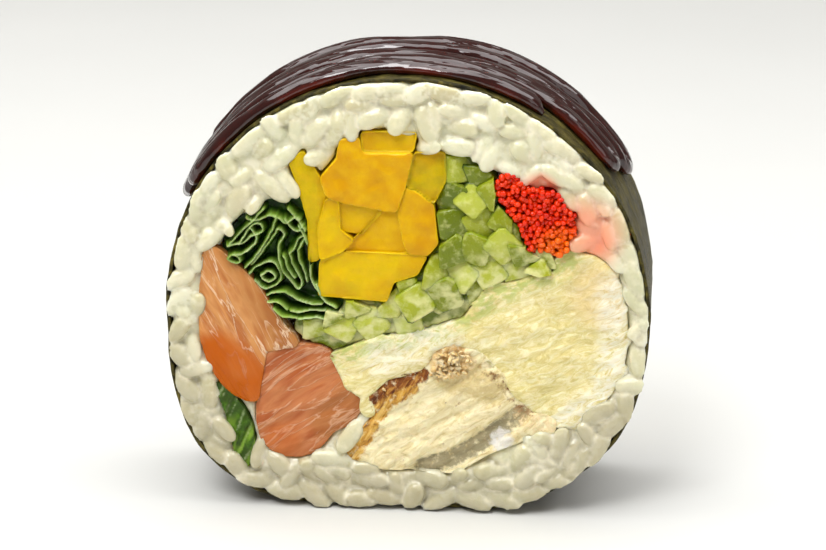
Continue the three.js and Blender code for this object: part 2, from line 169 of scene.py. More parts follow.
def normals_of(piece):
    flat = np.empty(len(piece.data.vertices) * 3)
    piece.data.vertex_normals.foreach_get("vector", flat)
    return flat.reshape(-1, 3)


def move_points(piece, points):
    piece.data.vertices.foreach_set("co", (points * MM).ravel())
    piece.data.update()


def modify(piece, kind, **settings):
    """Applies one modifier to a piece's mesh."""
    modifier = piece.modifiers.new(kind, kind)
    for name, value in settings.items():
        setattr(modifier, name, value)
    evaluated = piece.evaluated_get(bpy.context.evaluated_depsgraph_get())
    mesh = bpy.data.meshes.new_from_object(evaluated)
    piece.modifiers.clear()
    piece.data = mesh


def copy_of(name, node):
    piece = bpy.data.objects.new(name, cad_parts[node].data.copy())
    piece.data.materials.clear()
    bpy.context.scene.collection.objects.link(piece)
    modify(piece, "WELD", merge_threshold=0.001 * MM)
    return piece


def remesh(piece, voxel, ease):
    modify(piece, "REMESH", mode="VOXEL", voxel_size=voxel * MM, use_smooth_shade=True)
    modify(piece, "SMOOTH", factor=0.5, iterations=ease)


def softened(name, node, voxel=0.3, ease=4, grow=0.22, close=0.0):
    """A node's solid with rounded edges, its sides grown out to meet the neighbours.

    Grooves narrower than twice the closing distance are filled.
    """
    piece = copy_of(name, node)
    if close:
        remesh(piece, voxel, 0)
        modify(piece, "DISPLACE", mid_level=0, strength=close * MM)
        remesh(piece, voxel, 0)
        modify(piece, "DISPLACE", mid_level=0, strength=-close * MM)
    remesh(piece, voxel, ease)
    move_points(piece, points_of(piece) + grow * normals_of(piece) * [1, 0, 1])
    return piece


def carve(piece, depth):
    """Pushes the points of both cut faces inwards by a depth each, less where a face turns aside."""
    points, facing = points_of(piece), normals_of(piece)[:, 1]
    points[:, 1] -= np.sign(facing) * smoothstep(0.2, 0.8, np.abs(facing)) * depth
    points[:, 1] = np.clip(points[:, 1], -FACE_Y, FACE_Y)
    move_points(piece, points)


def core_of(name, node, depth, voxel=0.45):
    """A node's solid without what stands out further than a depth from mid-slice."""
    piece = copy_of(name, node)
    corner = np.array([BEYOND, depth, BEYOND])
    signs = np.array([[x, y, z] for x in SIDES for y in SIDES for z in SIDES])
    faces = [[0, 1, 3, 2], [4, 6, 7, 5], [0, 4, 5, 1], [2, 3, 7, 6], [0, 2, 6, 4], [1, 5, 7, 3]]
    block = new_piece("block", signs * corner, faces)
    modify(piece, "BOOLEAN", object=block, operation="INTERSECT", solver="EXACT")
    bpy.data.objects.remove(block)
    remesh(piece, voxel, 2)
    return piece


def store(piece, name, values):
    """Keeps a number for each point, or one for all, which the piece's material reads."""
    attribute = piece.data.attributes.new(name, "FLOAT", "POINT")
    attribute.data.foreach_set("value", np.full(len(piece.data.vertices), values, np.float32))


def stored(piece, name):
    values = np.empty(len(piece.data.vertices), np.float32)
    piece.data.attributes[name].data.foreach_get("value", values)
    return values


def thin_out(piece, share, shown_from):
    """Merges faces until a share is left, taking those nearer mid-slice than a depth first."""
    hidden = piece.vertex_groups.new(name="hidden")
    hidden.add(np.flatnonzero(np.abs(points_of(piece)[:, 1]) < shown_from).tolist(), 1.0, "REPLACE")
    modify(piece, "DECIMATE", ratio=share, vertex_group="hidden", vertex_group_factor=100)
    piece.data.shade_smooth()


def fuse(piece, voxel, share, *names):
    """Runs a mesh's overlapping bodies into one skin, keeping a share of its faces.

    Its points take the kept numbers from the nearest old ones.
    """
    old = points_of(piece)
    numbers = {name: stored(piece, name) for name in names}
    tree = KDTree(len(old))
    for i, point in enumerate(old):
        tree.insert(point, i)
    tree.balance()
    remesh(piece, voxel, 1)
    thin_out(piece, share, FACE_Y - 2)
    nearest = [tree.find(point)[1] for point in points_of(piece)]
    for name, values in numbers.items():
        store(piece, name, values[nearest])


def join(name, parts):
    """One piece of several; numbers kept for points stay with them."""
    with bpy.context.temp_override(active_object=parts[0], selected_editable_objects=parts):
        bpy.ops.object.join()
    parts[0].name = name
    return parts[0]


def random_turn(rng):
    """A turn about a random axis, as a matrix."""
    return np.array(Euler([rng.uniform(0, 2 * math.pi) for _ in range(3)]).to_matrix())


def ring_faces(rings, around):
    """Quads between rings of points that follow one another."""
    return [[i * around + k, i * around + (k + 1) % around, (i + 1) * around + (k + 1) % around,
             (i + 1) * around + k] for i in range(rings - 1) for k in range(around)]


def repeated(name, shape, placements, numbers):
    """One piece of many copies of a shape. Each has a 3x3 matrix, a place, and a value for each number."""
    base, faces = shape
    points = np.concatenate([base @ np.asarray(matrix).T + place for matrix, place in placements])
    count = len(base)
    all_faces = [[i * count + corner for corner in face] for i in range(len(placements)) for face in faces]
    piece = new_piece(name, points, all_faces)
    for number, values in numbers.items():
        store(piece, number, np.repeat(values, count))
    return piece


def dress(piece, material, slot, *nodes):
    """Gives a piece its material and its body, and hides the nodes that it stands for."""
    piece.data.materials.clear()
    piece.data.materials.append(material)
    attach(piece, "root")
    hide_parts(*nodes)


# What shows where on the cut faces

def cad_tree():
    """A ray-casting tree of all nodes, and for each of its faces the node that it belongs to."""
    points, faces, owners = [], [], []
    for name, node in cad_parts.items():
        first = len(points)
        points += [v.co / MM for v in node.data.vertices]
        for polygon in node.data.polygons:
            faces.append([first + corner for corner in polygon.vertices])
            owners.append(name)
    return BVHTree.FromPolygons(points, faces), owners


TREE, OWNERS = cad_tree()
MAP_X = np.arange(-MAP_HALF_WIDTH, MAP_HALF_WIDTH + MAP_STEP, MAP_STEP)
MAP_Z = np.arange(-1, MAP_HEIGHT + MAP_STEP, MAP_STEP)


def cut_face_map(side):
    """The name of the node that shows at each place of a cut face, or nothing, as rows of X."""
    def owner(x, z):
        hit = TREE.ray_cast(Vector((x, side * BEYOND, z)), Vector((0, -side, 0)))
        return "" if hit[2] is None else OWNERS[hit[2]]
    return np.array([[owner(x, z) for z in MAP_Z] for x in MAP_X])


def clearance(mask):
    """How far inside a mask each place lies, in millimetres."""
    depth = np.zeros(mask.shape)
    left = mask.copy()
    while left.any():
        depth[left] += MAP_STEP
        wide = np.pad(left, 1, constant_values=True)
        left &= wide[:-2, 1:-1] & wide[2:, 1:-1] & wide[1:-1, :-2] & wide[1:-1, 2:]
    return depth


def look_up(grid, x, z):
    i = np.clip(np.rint((np.asarray(x) - MAP_X[0]) / MAP_STEP).astype(int), 0, len(MAP_X) - 1)
    j = np.clip(np.rint((np.asarray(z) - MAP_Z[0]) / MAP_STEP).astype(int), 0, len(MAP_Z) - 1)
    return grid[i, j]


def outline_radii():
    """The sheet's outer radius at each whole degree round the roll, eased over the solid's facets."""
    radii = []
    for degree in range(360):
        out = Vector((math.cos(math.radians(degree)), 0, math.sin(math.radians(degree))))
        centre = Vector((0, BARE_Y, CENTRE_Z))
        hit = TREE.ray_cast(centre + BEYOND * out, -out)
        radii.append((hit[0] - centre).length)
    window = np.ones(5) / 5
    for _ in range(2):
        radii = np.convolve(np.pad(radii, 2, mode="wrap"), window, mode="valid")
    return radii


RADII = outline_radii()
OWNER_MAPS = {side: cut_face_map(side) for side in SIDES}


def radius_at(degrees):
    """The sheet's outer radius."""
    return np.interp(degrees, np.arange(360), RADII, period=360)


def roll_points(degrees, y, height=0.0):
    """Points at a height over the sheet's outer surface."""
    radius = radius_at(degrees) + height
    angle = np.radians(degrees)
    return np.column_stack([radius * np.cos(angle), y, CENTRE_Z + radius * np.sin(angle)])


def rim_map():
    """How far inside the roll's outline each place of a cut face lies."""
    x, z = np.meshgrid(MAP_X, MAP_Z - CENTRE_Z, indexing="ij")
    radius = radius_at(np.degrees(np.arctan2(z, x)))
    return clearance((np.hypot(x, z) < radius) & (z > -CENTRE_Z))


RIM = rim_map()
FREE = {side: clearance(~np.isin(OWNER_MAPS[side], FILLINGS)) for side in SIDES}  # how far from a filling


def node_map(side, *nodes):
    """How far inside the nodes' outline each place of a cut face lies."""
    return clearance(np.isin(OWNER_MAPS[side], nodes))


# Materials

def linear(hex_colour):
    """A colour written as #rrggbb, as Blender's linear RGBA."""
    values = [int(hex_colour[i:i + 2], 16) / 255 for i in (1, 3, 5)]
    return [v / 12.92 if v <= 0.04045 else ((v + 0.055) / 1.055) ** 2.4 for v in values] + [1.0]


class Finish:
    """A Principled material that is built up node by node. Colours are given as #rrggbb."""

    def __init__(self, name, values):
        self.material = bpy.data.materials.new(name)
        self.material.use_nodes = True
        self.tree = self.material.node_tree
        self.shader = self.tree.nodes["Principled BSDF"]
        self.fill(self.shader, values)

    def fill(self, node, inputs):
        for key, value in inputs.items():
            if isinstance(value, bpy.types.NodeSocket):
                self.tree.links.new(value, node.inputs[key])
            else:
                node.inputs[key].default_value = linear(value) if isinstance(value, str) else value

    def add(self, kind, inputs, **settings):
        node = self.tree.nodes.new(kind)
        for name, value in settings.items():
            setattr(node, name, value)
        self.fill(node, inputs)
        return node

    def number(self, name):
        return self.add("ShaderNodeAttribute", {}, attribute_name=name).outputs["Fac"]

    def noise(self, sizes, turn=0, detail=3, roughness=0.5, distortion=0.0):
        """Noise from 0 to 1; sizes are its wavelengths in mm, X lying along a line that climbs by turn."""
        place = self.add("ShaderNodeTexCoord", {}).outputs["Object"]
        mapping = {"Vector": place, "Rotation": (0, -math.radians(turn), 0),
                   "Scale": [size * MM for size in sizes]}
        vector = self.add("ShaderNodeMapping", mapping, vector_type="TEXTURE").outputs["Vector"]
        inputs = {"Vector": vector, "Scale": 1, "Detail": detail, "Roughness": roughness,
                  "Distortion": distortion}
        return self.add("ShaderNodeTexNoise", inputs).outputs["Fac"]

    def ramp(self, factor, stops):
        """Maps a number to colours; stops are (place, colour)."""
        node = self.add("ShaderNodeValToRGB", {"Fac": factor})
        elements = node.color_ramp.elements
        while len(elements) < len(stops):
            elements.new(0.5)
        for element, (place, hex_colour) in zip(elements, stops):
            element.position = place
            element.color = linear(hex_colour)
        return node.outputs["Color"]

    def remap(self, value, low, high, to_low=0.0, to_high=1.0):
        inputs = {"Value": value, "From Min": low, "From Max": high, "To Min": to_low, "To Max": to_high}
        return self.add("ShaderNodeMapRange", inputs).outputs["Result"]

    def math(self, operation, *values):
        return self.add("ShaderNodeMath", dict(enumerate(values)), operation=operation).outputs[0]

    def lines(self, value, width):
        """1 along thin lines where noise passes its middle value."""
        distance = self.math("ABSOLUTE", self.math("SUBTRACT", value, 0.5))
        return self.remap(distance, 0.0, width, 1.0, 0.0)

    def mix(self, factor, first, second):
        node = self.add("ShaderNodeMix", {"Factor": factor}, data_type="RGBA")
        self.fill(node, {6: first, 7: second})
        return node.outputs[2]

    def bump(self, height, distance):
        """Adds relief of a depth in mm to what the shader has already."""
        before = self.shader.inputs["Normal"].links
        inputs = {"Height": height, "Distance": distance * MM, "Strength": 1.0}
        if before:
            inputs["Normal"] = before[0].from_socket
        normal = self.add("ShaderNodeBump", inputs).outputs["Normal"]
        self.fill(self.shader, {"Normal": normal, "Coat Normal": normal})

    def done(self, colour, roughness=None):
        self.fill(self.shader, {"Base Color": colour})
        if roughness is not None:
            self.fill(self.shader, {"Roughness": roughness})
        return self.material


def moist(roughness, scatter, reach, coat=0.3, coat_roughness=0.12):
    """Shader values of moist food that light enters to a reach in mm."""
    return {
        "Roughness": roughness, "Subsurface Weight": scatter, "Subsurface Scale": reach * MM,
        "Subsurface Radius": (1.0, 0.7, 0.45), "Coat Weight": coat, "Coat Roughness": coat_roughness,
    }


def rice_material():
    f = Finish("rice_grain", moist(0.26, 0.8, 1.5, coat=0.5, coat_roughness=0.05))
    f.fill(f.shader, {"Subsurface Radius": (1.0, 0.9, 0.7)})
    body = f.ramp(f.number("tone"), [(0.0, "#c2b893"), (0.4, "#d2ccac"), (0.8, "#dbd6bc"), (1.0, "#e6e1cb")])
    body = f.mix(f.remap(f.noise((9, 9, 9)), 0.35, 0.7, 0.0, 0.55), body, "#c6c9a4")
    body = f.mix(f.remap(f.noise((1.6, 1.6, 1.6), detail=4), 0.5, 0.75, 0.0, 0.6), body, "#ece6cc")
    # Painted shade: greyer and darker along the lower left, the bottom and the lower right.
    body = f.mix(f.math("MULTIPLY", f.number("grey"), 0.6), body, "#a1977a")
    # Painted highlight: pale lines along the seams between grains, where they catch the light.
    outline = f.math("MULTIPLY", f.number("seam"), f.remap(f.noise((2.4, 2.4, 2.4)), 0.4, 0.6, 0.0, 0.75))
    body = f.mix(outline, body, "#f2ecd4")
    # Painted shade in the crevices where grains meet.
    crevice = f.math("MULTIPLY", f.number("seam"), f.remap(f.noise((3.1, 3.1, 3.1)), 0.55, 0.7, 0.0, 0.6))
    body = f.mix(crevice, body, "#7d7048")
    body = f.mix(f.number("pink"), body, "#ee9672")
    f.bump(f.noise((0.9, 0.9, 0.9), detail=5, roughness=0.6), 0.16)
    return f.done(body)


def nori_material():
    f = Finish("nori_sheet", {"Roughness": 0.5, "Specular IOR Level": 0.2})
    fibres = f.noise((2.2, 0.3, 2.2), detail=6, roughness=0.7, distortion=0.8)
    patches = f.noise((2.4, 1.2, 2.4), detail=6, roughness=0.7)
    body = f.ramp(fibres, [(0.34, "#100f03"), (0.52, "#2c280c"), (0.66, "#6a5f24")])
    body = f.mix(f.remap(patches, 0.46, 0.68, 0.0, 0.5), body, "#7f7334")
    f.bump(fibres, 0.2)
    f.bump(patches, 0.25)
    return f.done(body, f.remap(fibres, 0.3, 0.7, 0.35, 0.6))


def sauce_material():
    f = Finish("sauce_glaze", {"Roughness": 0.1, "Specular IOR Level": 0.4, "Coat Weight": 0.5,
                               "Coat Roughness": 0.04, "Subsurface Weight": 0.1,
                               "Subsurface Scale": 0.5 * MM})
    patchy = f.math("MULTIPLY", f.number("thin"), f.remap(f.noise((6, 3, 6)), 0.4, 0.65, 0.0, 1.0))
    body = f.mix(patchy, "#260502", "#5e1508")
    f.bump(f.noise((6.5, 1.7, 6.5), detail=2), 0.65)
    f.bump(f.noise((9.0, 0.7, 9.0), detail=2), 0.12)
    return f.done(body)


def takuan_material():
    f = Finish("takuan_flesh", moist(0.34, 0.3, 0.8, coat=0.06))
    f.fill(f.shader, {"Specular IOR Level": 0.15})
    body = f.ramp(f.number("tone"), [(0.0, "#b29c00"), (0.45, "#d6b200"), (1.0, "#ce9400")])
    mottle = f.noise((2.2, 3.0, 2.2), detail=5, roughness=0.6)
    body = f.mix(f.remap(mottle, 0.4, 0.7, 0.0, 0.5), body, "#e6bd08")
    blotch = f.noise((5.0, 5.0, 5.0), detail=2)
    body = f.mix(f.remap(blotch, 0.48, 0.66, 0.0, 0.4), body, "#bd7f00")
    fibres = f.noise((0.35, 4.0, 0.35), detail=4, roughness=0.6)
    body = f.mix(f.remap(fibres, 0.55, 0.75, 0.0, 0.3), body, "#c98a04")
    # Painted highlight: lighter yellow on the rounded edges, where the surface turns away from the cut face.
    body = f.mix(f.number("edge"), body, "#eac714")
    f.bump(fibres, 0.06)
    f.bump(mottle, 0.15)
    return f.done(body)


def salmon_material(name, deep, middle, pale, turn, fatty):
    f = Finish(name, moist(0.24, 0.35, 1.2, coat=0.14, coat_roughness=0.04))
    f.fill(f.shader, {"Specular IOR Level": 0.1})
    grain = f.noise((9.0, 9.0, 2.2), turn=turn, detail=3, roughness=0.5, distortion=0.4)
    body = f.ramp(grain, [(0.35, deep), (0.5, middle), (0.62, deep)])
    body = f.mix(f.number("brown"), body, "#9c6430")
    fat = f.lines(f.noise((13.0, 9.0, 2.6), turn=turn, detail=4, distortion=0.7), 0.02)
    fine = f.lines(f.noise((7.0, 7.0, 1.3), turn=turn, detail=3, distortion=0.6), 0.025)
    body = f.mix(f.math("MULTIPLY", fat, fatty), body, pale)
    faint = f.remap(f.noise((6, 6, 6)), 0.45, 0.65, 0.0, 0.6 * fatty)
    body = f.mix(f.math("MULTIPLY", fine, faint), body, pale)
    body = f.mix(f.number("deep"), body, "#b85800")
    f.bump(grain, 0.3)
    f.bump(fat, 0.06)
    f.bump(f.noise((1.2, 1.2, 0.7), turn=turn), 0.05)
    return f.done(body)


def eel_material():
    f = Finish("eel_flesh", moist(0.42, 0.3, 0.8, coat=0.08, coat_roughness=0.2))
    f.fill(f.shader, {"Specular IOR Level": 0.25})
    layers = f.noise((3.2, 3.0, 1.0), turn=EEL_LAYERS_CLIMB, detail=6, roughness=0.65, distortion=1.2)
    body = f.ramp(layers, [(0.3, "#cbb57c"), (0.42, "#e6d6a2"), (0.58, "#f6eac2"), (0.72, "#e2d09c")])
    rough = f.noise((0.9, 0.9, 0.9), detail=4, roughness=0.65)

    def stain(body, name, colour, strength=1.0):
        """Blends in a colour where the kept number, broken up by noise, is high."""
        broken = f.math("ADD", f.number(name), f.remap(rough, 0.3, 0.7, -0.6, 0.4))
        return f.mix(f.remap(broken, 0.25, 0.8, 0.0, strength), body, colour)

    body = stain(body, "khaki", "#cdb678", 0.7)
    # Painted shade: brownish grey in the fold along the fillet's lower edge, which is also carved deeper.
    body = stain(body, "grey", "#8d8262", 0.85)
    body = stain(body, "white", "#e9e6e0", 0.8)
    browned = f.ramp(rough, [(0.36, "#b07a34"), (0.46, "#dcb06a"), (0.6, "#f4deb0")])
    body = stain(body, "crumb", browned, 0.9)
    streaks = f.noise((2.6, 3.0, 0.6), turn=EEL_EDGE_CLIMB, detail=4, roughness=0.6, distortion=0.8)
    gold = f.ramp(streaks, [(0.36, "#7e4a08"), (0.5, "#c48a1a"), (0.64, "#e2b85c")])
    body = stain(body, "gold", gold, 0.95)
    caramel = f.ramp(streaks, [(0.38, "#5a2804"), (0.52, "#8a4c12"), (0.66, "#c08c3c")])
    body = stain(body, "caramel", caramel)
    f.bump(layers, 0.4)
    f.bump(rough, 0.3)
    return f.done(body)


def cream_material():
    f = Finish("cream_spread", moist(0.45, 0.3, 0.9, coat=0.2, coat_roughness=0.25))
    streaks = f.noise((2.4, 4.0, 1.0), turn=CREAM_STREAKS_CLIMB, detail=6, roughness=0.7, distortion=1.8)
    body = f.ramp(streaks, [(0.32, "#cfbd72"), (0.46, "#e2d38e"), (0.64, "#f4ebc0")])
    smears = f.noise((1.8, 3.0, 1.2), turn=CREAM_STREAKS_CLIMB, detail=4, roughness=0.6)
    body = f.mix(f.math("MULTIPLY", f.number("green"), f.remap(smears, 0.42, 0.56)), body, "#b4bf5c")
    body = f.mix(f.number("beige"), body, "#e2c48e")
    body = f.mix(f.math("MULTIPLY", f.number("white"), f.remap(streaks, 0.35, 0.55)), body, "#f4f0de")
    f.bump(streaks, 0.25)
    f.bump(f.noise((0.7, 0.7, 0.7), detail=4), 0.12)
    return f.done(body)


def roe_material():
    f = Finish("roe_bead", moist(0.2, 0.3, 0.5, coat=0.3, coat_roughness=0.05))
    f.fill(f.shader, {"Specular IOR Level": 0.2})
    body = f.mix(f.number("tone"), "#cc1800", "#ea3602")
    body = f.mix(f.number("orange"), body, "#f2700c")
    f.bump(f.noise((0.8, 0.8, 0.8)), 0.05)
    return f.done(body)


def cucumber_material():
    f = Finish("cucumber_flesh", moist(0.22, 0.4, 1.3, coat=0.3, coat_roughness=0.05))
    f.fill(f.shader, {"Specular IOR Level": 0.2})
    tones = [(0.0, "#5c6c04"), (0.4, "#929a16"), (0.75, "#b4ba44"), (1.0, "#d0d482")]
    body = f.ramp(f.number("tone"), tones)
    seeds = f.noise((1.1, 3.0, 1.1), detail=4, roughness=0.6)
    body = f.mix(f.remap(seeds, 0.5, 0.7, 0.0, 0.5), body, "#dcdc90")
    # Painted shade: darker green on the rims of the sticks' ends and on the core, where the gaps between the
    # sticks are in shade.
    body = f.mix(f.remap(f.number("rim"), 0.2, 1.0, 0.0, 0.6), body, "#7f9016")
    body = f.mix(f.number("skin"), body, "#1d3806")
    film = f.math("MULTIPLY", f.number("smeared"), f.remap(f.noise((1.8, 3, 1.4), detail=5), 0.42, 0.6))
    body = f.mix(f.math("MULTIPLY", film, 0.75), body, "#dad89c")
    f.bump(seeds, 0.2)
    return f.done(body)


def leaf_material():
    f = Finish("lettuce_leaf", {"Roughness": 0.35, "Subsurface Weight": 0.1, "Subsurface Scale": 0.4 * MM,
                                "Specular IOR Level": 0.15, "Coat Weight": 0.08, "Coat Roughness": 0.15})
    veins = f.noise((1.4, 1.4, 1.4), detail=4, roughness=0.6)
    body = f.ramp(veins, [(0.35, "#0c2004"), (0.55, "#204208"), (0.75, "#487216")])
    # Lighter green where the number light is high. On the bunch's cut faces it is painted light on the
    # shallow parts, so the dark green below is painted shade deep in the folds and on the core.
    body = f.mix(f.number("light"), body, "#86a838")
    body = f.mix(f.number("cut"), body, "#c0d09a")
    f.bump(veins, 0.1)
    return f.done(body)


# Rice

SHEET_HALF_WIDTH = FACE_Y - 1.0
SHEET_THICKNESS = 0.42
SHEET_SINK = 0.2  # how far the sheet lies inside the solid's outer surface


def grain_shape(rings=8, around=11):
    """A grain of length and width 1 along X, blunt at both ends."""
    points = [[-0.5, 0, 0]]
    for ring in range(1, rings):
        along = -math.cos(math.pi * ring / rings)
        radius = 0.5 * (1 - abs(along) ** 2.5) ** 0.45
        for step in range(around):
            angle = 2 * math.pi * step / around
            points.append([along / 2, radius * math.cos(angle), radius * math.sin(angle)])
    points.append([0.5, 0, 0])
    faces = [[0, 1 + (k + 1) % around, 1 + k] for k in range(around)]
    for ring in range(rings - 2):
        a, b = 1 + ring * around, 1 + (ring + 1) * around
        faces += [[a + k, a + (k + 1) % around, b + (k + 1) % around, b + k] for k in range(around)]
    last = 1 + (rings - 2) * around
    faces += [[last + k, last + (k + 1) % around, len(points) - 1] for k in range(around)]
    return np.array(points), faces


GRAIN_LENGTH = (4.8, 6.4)
GRAIN_WIDTH = (2.4, 2.9)
GRAIN_LAYERS = [  # depth of the grains' middles behind the cut face, how far it varies, and spacings
    (1.05, 0.4, (2.15, 1.8, 1.4, 1.1)),
    (2.1, 0.5, (1.9, 1.4)),
]
GRAIN_TRIES = 5000
GRAIN_FIELD = ((-30.5, 30.5), (1.0, 58))  # where they are thrown, across and up
GRAIN_TIP = 0.28  # how far they mostly tip out of the cut face, in radians
GRAIN_RIM = 1.0  # the least from a grain's ends to the roll's outline, and to a filling
GRAIN_TO_FILLING = 0.8
TIGHT_SPACING = 1.5  # below this spacing grains fill gaps: they are shorter and come nearer to edges
SHORT_GRAIN = 0.78  # their size and these distances, as shares of the others
TIGHT_SHARE = 0.5
RIM_ROW_DEPTH = 1.0  # the first row lies this far inside the outline, and varies by the next
RIM_ROW_UNEVEN = 0.7
RIM_ROW_BEHIND = (1.1, 0.45)  # how far it lies behind the cut face, and how far that varies
RIM_ROW_STEP = (2.7, 4.4)
RIM_ROW_TURN = 38  # degrees that its grains mostly turn from the outline
RIM_ROW_TIP = 0.3
LOWEST_GRAIN = 1.1
RICE_CORE_DEPTH = 8.9
RICE_VOXEL = 0.25
RICE_SHARE = 0.4  # of the faces kept after grains are fused
RICE_CORE_TONE = 0.4
SEAM_WIDTH = 0.4
SEAM_DEPTH = 0.08
GRAIN_LUMPS = 0.07
PRESSED_DEPTH = 1.3  # within this depth of the cut face, the knife has flattened the grains
RICE_GREY = [(-35, 20), (-29, 10), (-14, 0), (18, 0), (29, 12)]  # where painted shade makes the rice greyer, along the lower left, the bottom and the lower right
RICE_GREY_WIDTH = 9.0
RICE_PINK = [((22.0, 39.0), 6.5), ((16.5, 44.5), 3.0)]  # where it is pink, and how widely


def grain_ends(place, length, width, turn, tip):
    """Both ends and the middle of a grain's spine, as seen on the cut face."""
    reach = 0.5 * (length - width) * math.cos(tip)
    return place + np.array([-1, 0, 1])[:, None] * reach * np.array([math.cos(turn), math.sin(turn)])


def rim_row(side, rng):
    """Grains laid end to end along the roll's outline."""
    grains, degree = [], rng.uniform(0, 5)
    while degree < 360:
        depth = RIM_ROW_DEPTH + rng.uniform(0, RIM_ROW_UNEVEN)
        place = roll_points(np.array([degree]), np.zeros(1), -depth)[0]
        turn = math.radians(degree + 90 + rng.gauss(0, RIM_ROW_TURN))
        length, width = rng.uniform(*GRAIN_LENGTH), rng.uniform(*GRAIN_WIDTH)
        y = side * (FACE_Y - RIM_ROW_BEHIND[0] - rng.uniform(0, RIM_ROW_BEHIND[1]))
        z = max(place[2], LOWEST_GRAIN)
        grains.append((place[0], y, z, length, width, turn, rng.uniform(-RIM_ROW_TIP, RIM_ROW_TIP)))
        degree += math.degrees(rng.uniform(*RIM_ROW_STEP) / (radius_at(degree) - RIM_ROW_DEPTH))
    return grains


def lay_grains(side, depth, uneven, spacings, taken, rng):
    """Throws grains onto a cut face and keeps those that lie clear of one another and of the fillings."""
    kept = []
    for spacing in spacings:
        near, size = (TIGHT_SHARE, SHORT_GRAIN) if spacing < TIGHT_SPACING else (1, 1)
        free = (RIM >= GRAIN_RIM * near) & (FREE[side] >= GRAIN_TO_FILLING * near)
        for _ in range(GRAIN_TRIES):
            place = np.array([rng.uniform(*limits) for limits in GRAIN_FIELD])
            if not look_up(free, *place):
                continue
            length, width = size * rng.uniform(*GRAIN_LENGTH), size * rng.uniform(*GRAIN_WIDTH)
            turn = rng.uniform(0, math.pi)
            tip = rng.choice((-1, 1)) * min(math.pi / 2, abs(rng.gauss(0, GRAIN_TIP)))
            ends = grain_ends(place, length, width, turn, tip)
            if not look_up(free, *ends.T).all():
                continue
            if len(taken) and np.linalg.norm(taken[:, None] - ends, axis=2).min() < spacing:
                continue
            taken = np.vstack([taken, ends])
            y = side * (FACE_Y - depth - rng.uniform(0, uneven))
            kept.append((place[0], y, place[1], length, width, turn, tip))
    return kept


def grain_placement(grain, rng):
    """The matrix and place of one grain, drawn in from the faces where a tipped one would reach too far."""
    x, y, z, length, width, turn, tip = grain
    along = np.array([math.cos(tip) * math.cos(turn), math.sin(tip), math.cos(tip) * math.sin(turn)])
    across = np.cross(along, [0, 1, 0.01])
    across /= np.linalg.norm(across)
    matrix = np.column_stack([along * length, across * width, np.cross(along, across) * width * 0.9])
    reach = 0.5 * (abs(along[1]) * (length - width) + width)
    y = math.copysign(min(abs(y), FACE_Y + 0.4 - reach - rng.uniform(0, 0.3)), y)
    return matrix, np.array([x, y, z])


def within_wrap(points):
    """Grains held in by the sheet, bulging a little past its edges at both cut faces."""
    x, y, z = points[:, 0], points[:, 1], points[:, 2] - CENTRE_Z
    radius = np.maximum(np.hypot(x, z), 0.001)
    wall = radius_at(np.degrees(np.arctan2(z, x)))
    past_edge = smoothstep(SHEET_HALF_WIDTH - 0.1, SHEET_HALF_WIDTH + 0.5, np.abs(y))
    limit = wall - SHEET_THICKNESS - SHEET_SINK + past_edge * (SHEET_THICKNESS + SHEET_SINK)
    soft = 0.5
    start = limit - soft
    pressed = np.where(radius > start, start + soft * np.tanh((radius - start) / soft), radius)
    return np.column_stack([x * pressed / radius, y, np.maximum(CENTRE_Z + z * pressed / radius, 0.02)])


def press_grains(piece):
    """Lumpy grains, flattened a little where the knife went through."""
    points = points_of(piece)
    lumps = relief(points, (2.6, 2.6, 2.6), seed=4, octaves=1)
    points += GRAIN_LUMPS * lumps[:, None] * normals_of(piece)
    reach, start = np.abs(points[:, 1]), FACE_Y - 0.05 - PRESSED_DEPTH
    pressed = start + PRESSED_DEPTH * np.tanh((reach - start) / PRESSED_DEPTH)
    flat = np.where(reach > start, pressed, reach)
    points[:, 1] = np.copysign(flat, points[:, 1])
    move_points(piece, within_wrap(points))


def seams(points, placements):
    """1 where two grains meet at the surface, fading to 0 within them."""
    first, second = np.full(len(points), np.inf), np.full(len(points), np.inf)
    for matrix, place in placements:
        length, width = np.linalg.norm(matrix[:, :2], axis=0)
        spine = matrix[:, 0] * (1 - width / length)
        start = place - 0.5 * spine
        share = np.clip((points - start) @ spine / (spine @ spine), 0, 1)
        distance = np.linalg.norm(points - start - share[:, None] * spine, axis=1) - width / 2
        second = np.minimum(second, np.maximum(first, distance))
        first = np.minimum(first, distance)
    return np.exp(-((second - first) / SEAM_WIDTH) ** 2)


def pinkness(points):
    """How much the roe's colour has run into the rice."""
    near = np.max([near_place(points, place, width) for place, width in RICE_PINK], axis=0)
    return near * (0.75 + 0.5 * relief(points, (5, 5, 5), seed=9, octaves=1))


def all_grains(rng):
    """The grains of both cut faces: a row along the outline first, then layers that fill the rest."""
    grains = []
    for side in SIDES:
        row = rim_row(side, rng)
        grains += row
        taken = np.vstack([grain_ends(np.array([g[0], g[2]]), *g[3:]) for g in row])
        for layer in GRAIN_LAYERS:
            grains += lay_grains(side, *layer, taken, rng)
    return grains


def rice_core():
    """What lies behind the grains."""
    core = core_of("rice_core", "rice", RICE_CORE_DEPTH)
    move_points(core, within_wrap(points_of(core)))
    store(core, "tone", RICE_CORE_TONE)
    return core


